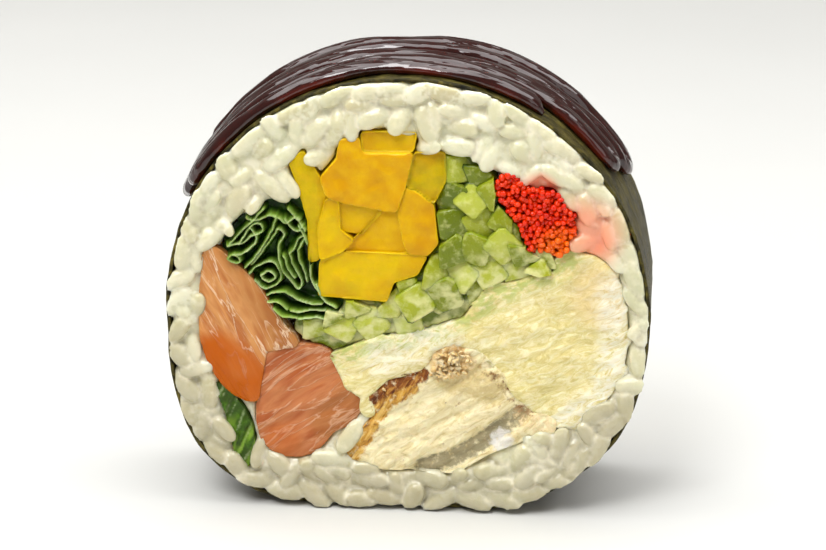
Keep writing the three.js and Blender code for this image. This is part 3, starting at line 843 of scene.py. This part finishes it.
def rice():
    rng = random.Random(31)
    placements = [grain_placement(grain, rng) for grain in all_grains(rng)]
    numbers = {"tone": [rng.random() for _ in placements]}
    piece = repeated("rice_grains", grain_shape(), placements, numbers)
    press_grains(piece)
    piece = join("rice_grains", [piece, rice_core()])
    fuse(piece, RICE_VOXEL, RICE_SHARE, "tone")
    seam = seams(points_of(piece), placements)
    move_points(piece, points_of(piece) - SEAM_DEPTH * seam[:, None] * normals_of(piece))
    store(piece, "seam", seam)
    # Painted shade along the lower left, the bottom and the lower right of the cut faces.
    store(piece, "grey", near_line(points_of(piece), RICE_GREY, RICE_GREY_WIDTH))
    store(piece, "pink", np.clip(pinkness(points_of(piece)), 0, 1))
    dress(piece, rice_material(), "rice", "rice")


# Nori and the sauce on it

SHEET_ANGLES = np.arange(0, 360, 1.5)
SHEET_ROWS = 34
SHEET_CRINKLE = 0.14
SHEET_RAGGED = 0.24
SHEET_DRAWN_IN = 0.88  # how far its edges draw back from the cut faces where it runs under the rice


def sheet_layer(depth):
    """Points of the sheet at a depth in it, in rows round the roll, crinkled, with uneven edges."""
    rows = []
    for row in range(SHEET_ROWS + 1):
        share = 2 * row / SHEET_ROWS - 1
        flat = roll_points(SHEET_ANGLES, np.full(len(SHEET_ANGLES), share * SHEET_HALF_WIDTH))
        crinkle = relief(flat, (6, 5, 6), seed=2)
        crinkle += 0.5 * relief(flat, (1.6, 1.2, 1.6), seed=3, octaves=2)
        ragged = relief(flat * [1, 0, 1], (3, 3, 3), seed=5 + (share > 0)) * abs(share) ** 6
        low = smoothstep(12, 4, flat[:, 2]) * smoothstep(-24, -14, flat[:, 0])
        y = 0.988 * flat[:, 1] + SHEET_RAGGED * ragged - SHEET_DRAWN_IN * low * share ** 3
        height = -depth - SHEET_SINK + SHEET_CRINKLE * np.clip(crinkle, -1.4, 1.4)
        rows.append(roll_points(SHEET_ANGLES, y, height))
    points = np.concatenate(rows)
    points[:, 2] = np.maximum(points[:, 2], depth)
    points[:, 1] = np.clip(points[:, 1], -SHEET_HALF_WIDTH - 0.3, SHEET_HALF_WIDTH + 0.3)
    return points


def sheet_faces():
    """Faces of the outer and inner layers, and of the edges that join them."""
    count = len(SHEET_ANGLES)
    last, inner = SHEET_ROWS * count, (SHEET_ROWS + 1) * count
    faces = []
    for a in range(count):
        b = (a + 1) % count
        for row in range(0, last, count):
            faces.append([row + a, row + b, row + b + count, row + a + count])
            faces.append([inner + corner for corner in reversed(faces[-1])])
        faces.append([b, a, inner + a, inner + b])
        faces.append([last + a, last + b, inner + last + b, inner + last + a])
    return faces


def nori():
    points = np.concatenate([sheet_layer(depth) for depth in (0.0, SHEET_THICKNESS)])
    piece = new_piece("nori_sheet", points, sheet_faces())
    dress(piece, nori_material(), "nori", "nori")


STRAND_WIDTH = 2.9
STRAND_HEIGHT = 2.0
STRAND_SINK = 0.4
STRAND_PASSES_Y = [-6.7, -3.7, -0.8, 2.3, 5.6]
STRAND_TURNS = [58, 145, 40, 152, 35, 149]  # degrees round the roll where passes start and end
STRAND_BULGE = 2.6  # degrees that a turn reaches past its passes
STRAND_STEP = 2.0
STRAND_SIDES = 14
POOLS = [  # where strands run together: degrees, y, half length in degrees, half width in mm
    (114, -5.2, 7, 2.0), (63, -2.2, 8, 2.2), (120, 4.2, 9, 1.8), (133, -2.0, 6, 1.7),
]
POOL_HEIGHT = 1.7
POOL_LIFT = 0.1


def strand_route():
    """The sauce's path as [degrees round the roll, y]: passes joined by round turns at alternate ends."""
    route = []
    for i, y in enumerate(STRAND_PASSES_Y):
        start, end = STRAND_TURNS[i], STRAND_TURNS[i + 1]
        for angle in np.arange(start, end, math.copysign(STRAND_STEP, end - start)):
            wander = 0.45 * math.sin(0.085 * angle + 2.3 * i) + 0.2 * math.sin(0.21 * angle + 1.3 * i)
            route.append([angle, y + wander])
        if i + 1 < len(STRAND_PASSES_Y):
            middle = (y + STRAND_PASSES_Y[i + 1]) / 2
            radius = (STRAND_PASSES_Y[i + 1] - y) / 2
            for share in (0.2, 0.4, 0.6, 0.8):
                bulge = math.copysign(STRAND_BULGE, end - start) * math.sin(math.pi * share)
                route.append([end + bulge, middle - radius * math.cos(math.pi * share)])
    return np.array(route)


def strand_rings(route):
    """Sections of the strand: flattened rounds that swell and thin along it."""
    spine = roll_points(route[:, 0], route[:, 1])
    along = np.gradient(spine, axis=0)
    along /= np.linalg.norm(along, axis=1)[:, None]
    out = (spine - [0, 0, CENTRE_Z]) * [1, 0, 1]
    out /= np.linalg.norm(out, axis=1)[:, None]
    across = np.cross(along, out)
    steps = np.arange(len(route))
    swell = 1 + 0.22 * relief(np.column_stack([steps, route]), (9, 900, 900), seed=6, octaves=2)
    from_end = np.minimum(1, (0.15 + np.minimum(steps, steps[::-1])) / 2.5)
    ends = np.sqrt(1 - (1 - from_end) ** 2)
    width = STRAND_WIDTH * swell * ends
    height = STRAND_HEIGHT * np.clip(swell, 0.7, 1.0) * ends
    spine = spine + out * (height / 2 - STRAND_SINK)[:, None]
    angles = 2 * math.pi * np.arange(STRAND_SIDES) / STRAND_SIDES
    rings = [spine + across * (width * math.cos(a) / 2)[:, None] + out * (height * math.sin(a) / 2)[:, None]
             for a in angles]
    return np.stack(rings, axis=1).reshape(-1, 3)


def strand():
    route = strand_route()
    points = strand_rings(route)
    n = STRAND_SIDES
    faces = [list(range(n))[::-1], list(range(len(points) - n, len(points)))]
    return new_piece("strand", points, faces + ring_faces(len(route), n))


def pool(degrees, y, half_length, half_width):
    """A low dome of sauce that joins two strands."""
    points, faces = grain_shape(rings=8, around=16)
    angle = degrees + points[:, 0] * 2 * half_length
    height = POOL_LIFT + points[:, 2] * POOL_HEIGHT
    placed = roll_points(angle, y + points[:, 1] * 2 * half_width, height)
    return new_piece("pool", placed, faces)


def sauce():
    piece = join("sauce_strands", [strand()] + [pool(*values) for values in POOLS])
    remesh(piece, 0.27, 2)
    points = points_of(piece)
    radius = np.hypot(points[:, 0], points[:, 2] - CENTRE_Z)
    degrees = np.degrees(np.arctan2(points[:, 2] - CENTRE_Z, points[:, 0]))
    height = radius - radius_at(degrees)
    store(piece, "thin", 1 - smoothstep(0.3, 1.2, height))
    dress(piece, sauce_material(), "sauce", "nori")


# Takuan

TAKUAN_TONES = {  # 0 is olive yellow and 1 orange yellow
    "takuan_left_plank": 0.15, "takuan_inner_plank": 0.45, "takuan_crown": 0.5, "takuan_main": 0.95,
    "takuan_wedge": 0.45, "takuan_middle": 0.75, "takuan_right_plank": 0.85, "takuan_bottom": 0.4,
    "takuan_green_end": 0.0,
}
TAKUAN_LOOSE = ("takuan_wedge", "takuan_middle")  # grown further, to close wide gaps
TAKUAN_DEPTH_STEP = 0.3  # pieces stand at three depths behind the cut face


def takuan():
    material = takuan_material()
    for seed, (node, tone) in enumerate(TAKUAN_TONES.items()):
        grow = 0.4 if node in TAKUAN_LOOSE else 0.2
        piece = softened(f"pickle_{node[len('takuan_'):]}", node, voxel=0.29, ease=2, grow=grow)
        points = points_of(piece)
        carve(piece, TAKUAN_DEPTH_STEP * (seed % 3) + 0.2 * (1 + relief(points, (2.2, 9, 2.2), seed)))
        facing = np.abs(normals_of(piece)[:, 1])
        points = points_of(piece)
        shade = 0.12 * relief(points, (4, 9, 4), seed + 20)
        store(piece, "tone", np.clip(tone + shade, 0, 1))
        # Painted highlight on the rounded edges of each piece.
        store(piece, "edge", smoothstep(0.99, 0.6, facing) * 0.7)
        dress(piece, material, "takuan", node)


# Soft fillings

SALMON_LEFT_DEEP = [(-24.0, 19.5), (-21.0, 17.0), (-18, 13.5)]
SALMON_LEFT_BROWN = [(-21, 34), (-15.5, 25.5), (-13.5, 22)]
SALMON_RIGHT_DEEP = (-15.5, 8.5)
SALMON_RIGHT_BROWN = [(-9.5, 11.5), (-6.5, 15)]


def salmon_left():
    piece = softened("fish_left", "salmon_left", voxel=0.33, ease=4, grow=0.35)
    points = points_of(piece)
    carve(piece, 0.35 * (1 + relief(turned(points, -62), (10, 9, 2.6), seed=11)))
    blotch = 0.8 + 0.5 * relief(points, (6, 9, 6), seed=29)
    store(piece, "deep", near_line(points, SALMON_LEFT_DEEP, 5.0) * np.clip(blotch + 0.2, 0, 1))
    store(piece, "brown", near_line(points, SALMON_LEFT_BROWN, 4.0) * blotch * 0.6)
    material = salmon_material("salmon_orange", "#b46e3a", "#d09458", "#f0d4b4", turn=-62, fatty=0.8)
    dress(piece, material, "salmon", "salmon_left")


def salmon_right():
    piece = softened("fish_right", "salmon_right", voxel=0.33, ease=4, grow=0.35)
    points = points_of(piece)
    carve(piece, 0.35 * (1 + relief(turned(points, 35), (9, 9, 2.6), seed=12)))
    store(piece, "deep", near_place(points, SALMON_RIGHT_DEEP, 3.5) * 0.4)
    store(piece, "brown", near_line(points, SALMON_RIGHT_BROWN, 3.2) * 0.5)
    material = salmon_material("salmon_pink", "#a85a30", "#c07a4c", "#e6bc9a", turn=35, fatty=0.5)
    dress(piece, material, "salmon_pale", "salmon_right")


def leaf_strip():
    piece = softened("folded_leaf", "leaf_strip", voxel=0.2, ease=3, grow=0.3)
    points = points_of(piece)
    fold = relief(turned(points, 68), (5, 9, 0.7), seed=13)
    carve(piece, 0.5 * (1 + fold))
    height = mid_slice(points)[:, 2]
    store(piece, "light", np.maximum(0.12, smoothstep(-0.3, 0.4, fold) * smoothstep(12.5, 9, height)))
    store(piece, "cut", smoothstep(0.25, 0.6, relief(turned(points, 68), (6, 9, 0.45), seed=14)) * 0.4)
    dress(piece, leaf_material(), "lettuce", "leaf_strip")


EEL_GOLD = [(-6.8, 6.6), (-4.8, 9.6), (-3.4, 12.6), (-2.0, 15.0), (1.0, 17.0)]
EEL_CARAMEL = [(-4.4, 14.9), (-2.6, 16.6), (0.4, 18.2), (2.4, 18.9)]
# where a fold runs along the fillet's lower edge: carved deeper, with painted shade
EEL_GREY = [(15.1, 14.1), (13.3, 12.4), (10.0, 9.6), (6.4, 7.2), (2.9, 6.0)]
EEL_KHAKI = [(6.5, 18.8), (9.0, 18.6), (11.2, 17.6)]
EEL_NOTCHES = [(10.2, 20.2), (12.6, 18.6), (13.8, 16.4), (14.6, 14.9), (16.4, 14.5)]
EEL_KNOB = (6.0, 21.2)
EEL_TIP = [(15.5, 14.2), (19.5, 12.6)]
EEL_WHITE = (13.0, 10.4)
EEL_LAYERS_CLIMB = 32  # degrees
EEL_EDGE_CLIMB = 58
CRUMB_SIZES = ((0.25, 0.45), (0.3, 0.6), (0.6, 1.3))
CRUMB_INSIDE = 0.8  # the least from a crumb to the fillet's outline
CRUMB_PLACES = [  # where crumbs lie, how widely they scatter, how many, and how much caramel they carry
    (EEL_KNOB, 1.4, 90, 0.15), ((3.0, 19.4), 0.6, 8, 0.6), ((-2.6, 16.6), 0.4, 4, 1.0),
]


def crumb_places(rng):
    """Where crumbs cling to the cut faces, each with how much caramel it carries."""
    places = []
    for side in SIDES:
        inside = node_map(side, "eel")
        for place, spread, count, browned in CRUMB_PLACES:
            for _ in range(count):
                y = side * (FACE_Y - rng.uniform(0.5, 1.0))
                at = drift(np.array([[rng.gauss(place[0], spread), y, rng.gauss(place[1], spread)]]))[0]
                if look_up(inside, at[0], at[2]) >= CRUMB_INSIDE:
                    places.append((at, rng.uniform(0.3, 1.1) * browned))
    return places


def eel_crumbs():
    """Flakes and browned crumbs."""
    rng = random.Random(44)
    places = crumb_places(rng)
    placements = [(random_turn(rng) @ np.diag([rng.uniform(*sizes) for sizes in CRUMB_SIZES]), at)
                  for at, _ in places]
    crumb, caramel = [rng.uniform(0.8, 1.3) for _ in places], [browned for _, browned in places]
    piece = repeated("crumbs", ball_shape(), placements, {"crumb": crumb, "caramel": caramel})
    points = points_of(piece)
    move_points(piece, points + 0.22 * relief(points, (0.7, 0.7, 0.7), seed=27)[:, None] * normals_of(piece))
    return piece


def store_eel_stains(piece, points, crumb, grey):
    store(piece, "crumb", np.maximum(crumb, 0.55 * near_line(points, EEL_TIP, 2.4)))
    # painted shade in the fold
    store(piece, "grey", grey)
    store(piece, "white", near_place(points, EEL_WHITE, 2.2))
    store(piece, "gold", near_line(points, EEL_GOLD, 1.6))
    notches = 0.5 * near_line(points, EEL_NOTCHES, 0.9)
    store(piece, "caramel", np.maximum(near_line(points, EEL_CARAMEL, 1.6), notches))
    store(piece, "khaki", near_line(points, EEL_KHAKI, 3.4))


def eel():
    piece = softened("eel_fillet", "eel", voxel=0.29, ease=2, grow=0.35, close=0.5)
    points = points_of(piece)
    wander = relief(points, (5, 9, 5), seed=23, octaves=2)
    layers = relief(turned(points, EEL_LAYERS_CLIMB) + wander[:, None], (4.5, 9, 1.6), seed=15)
    crumbs = relief(points, (1.5, 1.5, 1.5), seed=16)
    crumb = near_place(points, EEL_KNOB, 4.2)
    # The fold along the fillet's lower edge, carved deeper below and painted with shade
    grey = near_line(points, EEL_GREY, 1.7)
    carve(piece, 0.45 * (1 + layers) + 0.2 * crumbs + 0.4 * crumb * crumbs + 0.6 * grey)
    store_eel_stains(piece, points, crumb, grey)
    piece = join("eel_fillet", [piece, eel_crumbs()])
    dress(piece, eel_material(), "eel", "eel")


CREAM_GREEN = [(-10, 22), (2, 25.5), (8, 29), (14, 33.5), (19, 35.5)]  # where it took the cucumber's colour
CREAM_BEIGE = (25.0, 31.0)
CREAM_WHITE = [(-2.5, 21.0), (1.0, 22.6), (5.0, 24.2)]
CREAM_BY_RICE = [(27.5, 31), (28.5, 25), (27, 17), (21, 11.5)]
CREAM_SPREAD = 1.3  # how far it can run over its neighbours
CREAM_STREAKS_CLIMB = 24  # degrees


def cream_cheese():
    piece = softened("cream_spread", "cream_cheese", voxel=0.35, ease=3, grow=0.4)
    points = points_of(piece)
    spread = near_line(points, CREAM_GREEN + CREAM_BY_RICE, 4) * relief(points, (2.6, 7, 2.6), seed=30)
    points += CREAM_SPREAD * np.maximum(spread, 0)[:, None] * normals_of(piece) * [1, 0, 1]
    move_points(piece, points)
    wander = 1.4 * relief(points, (5, 9, 5), seed=22, octaves=2)
    streaks = relief(turned(points, CREAM_STREAKS_CLIMB) + wander[:, None], (3.2, 9, 1.5), seed=17)
    lumps = relief(points, (5, 6, 5), seed=18, octaves=2)
    carve(piece, 0.28 * (1 + streaks) + 0.4 * lumps)
    store(piece, "green", near_line(points, CREAM_GREEN, 4.0) * 0.8)
    store(piece, "beige", near_place(points, CREAM_BEIGE, 6.0) * 0.5)
    by_rice = near_line(points, CREAM_BY_RICE, 4.5)
    store(piece, "white", np.maximum(0.6 * near_line(points, CREAM_WHITE, 3.6), 0.8 * by_rice))
    dress(piece, cream_material(), "cream_cheese", "cream_cheese")


# Roe

def ball_shape():
    """A ball of width 1."""
    points, faces = grain_shape(rings=6, around=9)
    directions = points / np.linalg.norm(points, axis=1)[:, None]
    return directions * 0.5, faces


BEAD_WIDTH = (0.6, 1.05)
BEAD_LAYERS = [(0.45, 0.8, 0.52), (1.1, 0.5, 0.62)]  # depth behind the cut face, how far it varies, spacing
BEAD_TRIES = 4500
BEAD_FIELD = ((10, 23), (34, 48))  # where they are thrown, across and up
BEAD_INSIDE = 0.25  # the least from a bead's middle to the outline of the roe
ROE_ORANGE = (19.5, 36.6)
ROE_CORE_TONE = 0.3


def bead_layer(side, depth, uneven, spacing, rng):
    """Beads thrown onto a cut face, of which those clear of one another are kept."""
    inside = node_map(side, "tobiko")
    taken, placements = [], []
    for _ in range(BEAD_TRIES):
        place = np.array([rng.uniform(*limits) for limits in BEAD_FIELD])
        if look_up(inside, *place) < BEAD_INSIDE:
            continue
        if taken and np.linalg.norm(np.array(taken) - place, axis=1).min() < spacing:
            continue
        taken.append(place)
        y = side * (FACE_Y - depth - rng.uniform(0, uneven))
        matrix = np.diag([rng.uniform(*BEAD_WIDTH) for _ in range(3)])
        placements.append((matrix, np.array([place[0], y, place[1]])))
    return placements


def roe():
    rng = random.Random(5)
    placements = [placement for side in SIDES for layer in BEAD_LAYERS
                  for placement in bead_layer(side, *layer, rng)]
    beads = repeated("beads", ball_shape(), placements, {"tone": [rng.random() for _ in placements]})
    core = core_of("roe_core", "tobiko", FACE_Y - 1.7, voxel=0.35)
    store(core, "tone", ROE_CORE_TONE)
    piece = join("roe", [beads, core])
    store(piece, "orange", near_place(points_of(piece), ROE_ORANGE, 4.2) * 0.8)
    dress(piece, roe_material(), "tobiko", "tobiko")


# Cucumber

STICKS = [  # middle in X and Z, width, turn, tone from green to pale, and the side with dark skin or None
    (6.4, 46.6, 3.6, 8, 0.55, None), (8.8, 46.3, 3.2, 24, 0.1, 190), (10.9, 43.9, 3.8, 40, 0.35, None),
    (5.6, 42.9, 3.6, 75, 0.0, None), (8.2, 42.7, 3.7, 52, 0.75, 95),
    (5.9, 39.3, 3.8, 10, 0.05, None), (9.4, 39.4, 3.9, 30, 0.5, None), (12.4, 40.3, 3.6, 62, 0.3, 60),
    (13.2, 38.9, 3.2, 80, 0.1, 30), (12.2, 36.9, 3.9, 48, 0.7, None), (14.9, 36.3, 3.4, 20, 0.15, 20),
    (17.6, 35.6, 3.4, 5, 0.3, 90), (8.8, 36.2, 3.8, 70, 0.25, None), (5.6, 35.8, 3.8, 20, 0.1, None),
    (14.2, 33.9, 3.8, 12, 0.6, None), (10.6, 33.3, 3.9, 34, 0.65, None), (17.0, 33.6, 3.0, 40, 0.5, None),
    (6.9, 32.6, 3.9, 55, 0.8, None), (3.0, 33.0, 3.8, 30, 0.45, None), (9.4, 30.3, 3.4, 18, 0.3, None),
    (4.9, 29.7, 4.2, 27, 0.2, 300), (1.4, 28.7, 4.0, 33, 0.5, 285), (-0.8, 31.2, 3.6, 60, 0.4, None),
    (0.4, 25.6, 3.6, 15, 0.85, None), (-2.5, 28.2, 3.8, 5, 0.6, None), (-4.2, 25.2, 3.8, 42, 0.7, None),
    (-6.5, 28.2, 3.7, 22, 0.45, None), (-7.9, 25.0, 3.8, 65, 0.75, None), (-9.8, 26.8, 3.4, 35, 0.15, 60),
    (-11.6, 24.6, 3.7, 12, 0.6, None),
]
STICK_CORNERS = np.array([-52, -38, 36, 54, 130, 140, 219, 232])  # degrees round a blunt, uneven square
STICK_STEPS = (  # rings from rim to middle of a stick's end: size, how far back, and how much it is rim, which darkens it with painted shade and carries the skin
    (1.0, 0.3, 1.0), (0.96, 0.1, 0.9), (0.85, 0.0, 0.3), (0.0, -0.08, 0.0),
)
# The core shows only in the gaps between the sticks; its tone, rim and skin paint it dark there, as shade.
CUCUMBER_CORE = {"tone": 0.1, "rim": 1.0, "skin": 0.3}
CUCUMBER_SMEARED = [(-15, 24), (-4, 25.5), (3, 27), (12, 33), (17, 34)]  # cream cheese lies on it here


def stick_section(seed, width, turn, inside):
    """A stick's section: an uneven square with blunt corners, drawn in to the bundle's outline."""
    angles = np.radians(turn + STICK_CORNERS)
    corners = seed + 0.66 * width * np.column_stack([np.cos(angles), np.sin(angles)])
    shares = np.linspace(1, 0.1, 19)
    inner = []
    for corner in corners:
        line = seed + shares[:, None] * (corner - seed)
        front = drift(np.column_stack([line[:, 0], np.full(len(line), -FACE_Y), line[:, 1]]))
        within = look_up(inside, front[:, 0], front[:, 2]) > 0
        inner.append(line[np.argmax(within) if within.any() else -1])
    return np.array(inner)


def skin_share(seed, polygon, skin_at):
    """1 at the corners of a section that carry skin, and 0 at the others."""
    if skin_at is None:
        return np.zeros(len(polygon))
    reach = (polygon - seed) @ np.array([math.cos(math.radians(skin_at)), math.sin(math.radians(skin_at))])
    return smoothstep(0.5 * reach.max(), 0.8 * reach.max(), reach)


def stick(seed, polygon, skin, rng):
    """One stick: its section carried through the slice, with rims bevelled and ends cut at a slant."""
    slant = np.array([rng.uniform(-0.2, 0.2), rng.uniform(-0.2, 0.2)])
    rings, rims, skins = [], [], []
    for side in SIDES:
        end = FACE_Y - rng.uniform(0.15, 1.7)
        for size, back, rim in STICK_STEPS[::side]:
            section = seed + (polygon - seed) * size
            y = side * np.clip(end - back - (section - seed) @ slant, 0, FACE_Y)
            rings.append(drift(np.column_stack([section[:, 0], y, section[:, 1]])))
            rims.append(np.full(len(polygon), rim))
            skins.append(skin * smoothstep(0.2, 0.9, np.array(rim)))
    return np.concatenate(rings), {"rim": np.concatenate(rims), "skin": np.concatenate(skins)}


def all_sticks():
    rng = random.Random(23)
    inside = node_map(-1, "cucumber")
    points, faces, numbers = [], [], {"tone": [], "rim": [], "skin": []}
    for x, z, width, turn, tone, skin_at in STICKS:
        seed = np.array([x, z])
        section = stick_section(seed, width, turn, inside)
        shape, values = stick(seed, section, skin_share(seed, section, skin_at), rng)
        values["tone"] = np.full(len(shape), tone)
        first = len(shape) * len(points)
        shape_faces = ring_faces(2 * len(STICK_STEPS), len(section))
        faces += [[first + corner for corner in face] for face in shape_faces]
        points.append(shape)
        for name, kept in numbers.items():
            kept.append(values[name])
    sticks = new_piece("sticks", np.concatenate(points), faces)
    for name, kept in numbers.items():
        store(sticks, name, np.concatenate(kept))
    modify(sticks, "WELD", merge_threshold=0.01 * MM)
    sticks.data.set_sharp_from_angle(angle=math.radians(50))
    return sticks


def cucumber():
    core = core_of("cucumber_core", "cucumber", FACE_Y - 1.9)
    for name, value in CUCUMBER_CORE.items():
        store(core, name, value)
    piece = join("cucumber_sticks", [all_sticks(), core])
    store(piece, "smeared", near_line(points_of(piece), CUCUMBER_SMEARED, 4.5))
    dress(piece, cucumber_material(), "cucumber", "cucumber")


# Lettuce

LEAF_STEP = 0.13
LEAF_EDGE = 0.13  # half the width of a cut edge
LEAF_DEPTH = 2.3
LEAF_OVERLAP = 0.25
DRAWING_ORIGIN = np.array([-24.8, 53.3])  # the drawing of the leaf lies on the front cut face
DRAWING_STEP = np.array([0.196, -0.209])
LEAF_EDGES = [  # where the cut leaf shows, as lines in steps to the right and down from the origin
    [(22, 98), (30, 88), (37, 79), (42, 70), (43, 64)], [(26, 96), (34, 85), (41, 78), (44, 71), (48, 76)],
    [(10, 84), (14, 83), (22, 83), (27, 77), (35, 74), (33, 70), (28, 69), (24, 76), (18, 83)],
    [(23, 66), (29, 68), (35, 65), (39, 63), (44, 65), (49, 70), (54, 64), (58, 66)],
    [(48, 76), (44, 83), (44, 92), (47, 100), (52, 106), (56, 111), (59, 109), (56, 100), (52, 92), (50, 88),
     (54, 85), (56, 79), (60, 76)],
    [(61, 78), (56, 86), (57, 92), (60, 98), (62, 106)], [(47, 90), (50, 98), (54, 103)],
    [(32, 103), (37, 99), (42, 103), (38, 107), (33, 106), (32, 103)],
    [(24, 102), (29, 98), (33, 95), (40, 93), (45, 99), (45, 106), (38, 111), (32, 111), (28, 106)],
    [(57, 70), (63, 80), (65, 90), (64, 100), (66, 108), (71, 114)],
    [(36, 115), (45, 112), (50, 113), (56, 118), (64, 121), (72, 120)],
    [(48, 66), (52, 72), (57, 74), (60, 70)], [(11, 92), (16, 96), (20, 94), (17, 90), (13, 89), (11, 92)],
    [(30, 116), (36, 120), (44, 119), (50, 124)], [(40, 124), (47, 129), (57, 130), (68, 129), (80, 131)],
    [(50, 60), (56, 65), (61, 73)],
    [(52, 125), (60, 126), (70, 124), (82, 126)], [(68, 108), (73, 118), (80, 122)],
    [(34, 60), (30, 64), (25, 71), (17, 78), (11, 84)], [(26, 73), (31, 78), (28, 84), (20, 90), (15, 89)],
]


def rounded(line):
    """A line with its corners cut off, twice."""
    line = np.array(line, float)
    for _ in range(2):
        near, far = 0.75 * line[:-1] + 0.25 * line[1:], 0.25 * line[:-1] + 0.75 * line[1:]
        line = np.vstack([line[:1], np.stack([near, far], axis=1).reshape(-1, 2), line[-1:]])
    return line


def leaf_edges():
    """The leaf's cut edges in mid-slice coordinates, as pairs of line ends."""
    starts, ends = [], []
    for line in LEAF_EDGES:
        at = DRAWING_ORIGIN + rounded(line) * DRAWING_STEP
        at = mid_slice(np.column_stack([at[:, 0], np.full(len(at), -FACE_Y), at[:, 1]]))[:, [0, 2]]
        starts.append(at[:-1])
        ends.append(at[1:])
    return np.concatenate(starts), np.concatenate(ends)


def edge_distance(points):
    """How far points lie from the nearest cut edge of the leaf, which wavers a little."""
    at = mid_slice(points)
    waver = np.column_stack([relief(at, (2, 6, 2), seed=24), relief(at, (2, 6, 2), seed=25)])
    return line_distance(at[:, [0, 2]] + 0.25 * waver, *leaf_edges())


def leaf_grid(side, kept):
    """Faces between the kept places of a grid, looking out of a cut face."""
    number = np.full(kept.shape, -1)
    number[kept] = np.arange(kept.sum())
    corners = np.stack([number[:-1, :-1], number[1:, :-1], number[1:, 1:], number[:-1, 1:]], axis=-1)
    return corners[(corners >= 0).all(axis=-1)][:, ::-side].tolist()


def folded_leaf(side):
    """The bunch's cut face: thin standing edges with deep folds between them."""
    near = clearance(~np.isin(OWNER_MAPS[side], ["lettuce"]))
    x, z = np.meshgrid(np.arange(-27, -6, LEAF_STEP), np.arange(22, 45, LEAF_STEP), indexing="ij")
    kept = (look_up(near, x, z) <= LEAF_OVERLAP) & (look_up(RIM, x, z) > 1)
    flat = np.column_stack([x[kept], np.full(kept.sum(), side * FACE_Y), z[kept]])
    distance = edge_distance(flat)
    edge = np.exp(-(distance / LEAF_EDGE) ** 2)
    uneven = relief(flat, (4, 9, 4), seed=26, octaves=2)
    depth = 0.45 * (1.2 + uneven) + LEAF_DEPTH * (1 - edge) ** 1.5 * np.clip(distance / 0.5, 0.35, 1)
    points = np.column_stack([flat[:, 0], side * (FACE_Y - depth), flat[:, 2]])
    piece = new_piece("leaf", points, leaf_grid(side, kept))
    store(piece, "cut", smoothstep(0.35, 0.9, edge) * (0.6 + 0.5 * uneven))
    # Painted shade: the leaf grows darker the deeper it lies in the folds, and is a little lighter towards
    # its lower part.
    low = smoothstep(31, 28, flat[:, 2])
    store(piece, "light", (0.7 + 0.3 * low) * smoothstep(0.25, 0.85, 1 - depth / depth.max()))
    return piece


def lettuce():
    core = core_of("lettuce_core", "lettuce", FACE_Y - 3.4)
    piece = join("lettuce_folds", [core] + [folded_leaf(side) for side in SIDES])
    dress(piece, leaf_material(), "lettuce", "lettuce")


# Floor, lights and camera

FLOOR_SIZE = 4000
FLOOR_DROP = 0.02
LAMP_TARGET = (0, 0, 30)


def floor():
    half = FLOOR_SIZE / 2
    corners = [(-half, -half, -FLOOR_DROP), (half, -half, -FLOOR_DROP), (half, half, -FLOOR_DROP),
               (-half, half, -FLOOR_DROP)]
    plane = new_piece("floor", corners, [[0, 1, 2, 3]])
    f = Finish("pale_floor", {"Roughness": 0.6, "Specular IOR Level": 0.3})
    tint = f.mix(f.noise((60, 60, 60), detail=2), "#c4c4c1", "#cacac7")
    plane.data.materials.append(f.done(tint))


def aimed(thing, place, target):
    """Puts a lamp or camera at a place, looking at a target."""
    thing.location = Vector(place) * MM
    thing.rotation_euler = (Vector(target) * MM - thing.location).to_track_quat("-Z", "Y").to_euler()
    bpy.context.scene.collection.objects.link(thing)


def softbox(name, place, size, watts):
    lamp = bpy.data.lights.new(name, "AREA")
    lamp.shape = "RECTANGLE"
    lamp.size, lamp.size_y = (s * MM for s in size)
    lamp.energy = watts
    aimed(bpy.data.objects.new(name, lamp), place, LAMP_TARGET)


def lights():
    softbox("key_light", (-150, -330, 520), (240, 240), 2.6)
    softbox("top_light", (0, 20, 440), (900, 400), 4.4)
    softbox("fill_light", (420, -380, 260), (360, 360), 0.5)
    world = bpy.data.worlds.new("studio")
    bpy.context.scene.world = world
    world.use_nodes = True
    background = world.node_tree.nodes["Background"]
    background.inputs["Color"].default_value = linear("#fffaf2")
    background.inputs["Strength"].default_value = 0.26


def camera():
    azimuth, elevation = math.radians(CAMERA_AZIMUTH), math.radians(CAMERA_ELEVATION)
    back = np.array([math.sin(azimuth) * math.cos(elevation), -math.cos(azimuth) * math.cos(elevation),
                     math.sin(elevation)])
    lens = bpy.data.cameras.new("camera")
    lens.lens = CAMERA_LENS
    lens.clip_start = 0.01
    thing = bpy.data.objects.new("camera", lens)
    aimed(thing, np.array(CAMERA_TARGET) + CAMERA_DISTANCE * back, CAMERA_TARGET)
    bpy.context.scene.camera = thing


camera()
lights()
floor()
bpy.context.scene.view_settings.view_transform = "Standard"
rice()
nori()
sauce()
takuan()
salmon_left()
salmon_right()
leaf_strip()
eel()
cream_cheese()
roe()
cucumber()
lettuce()
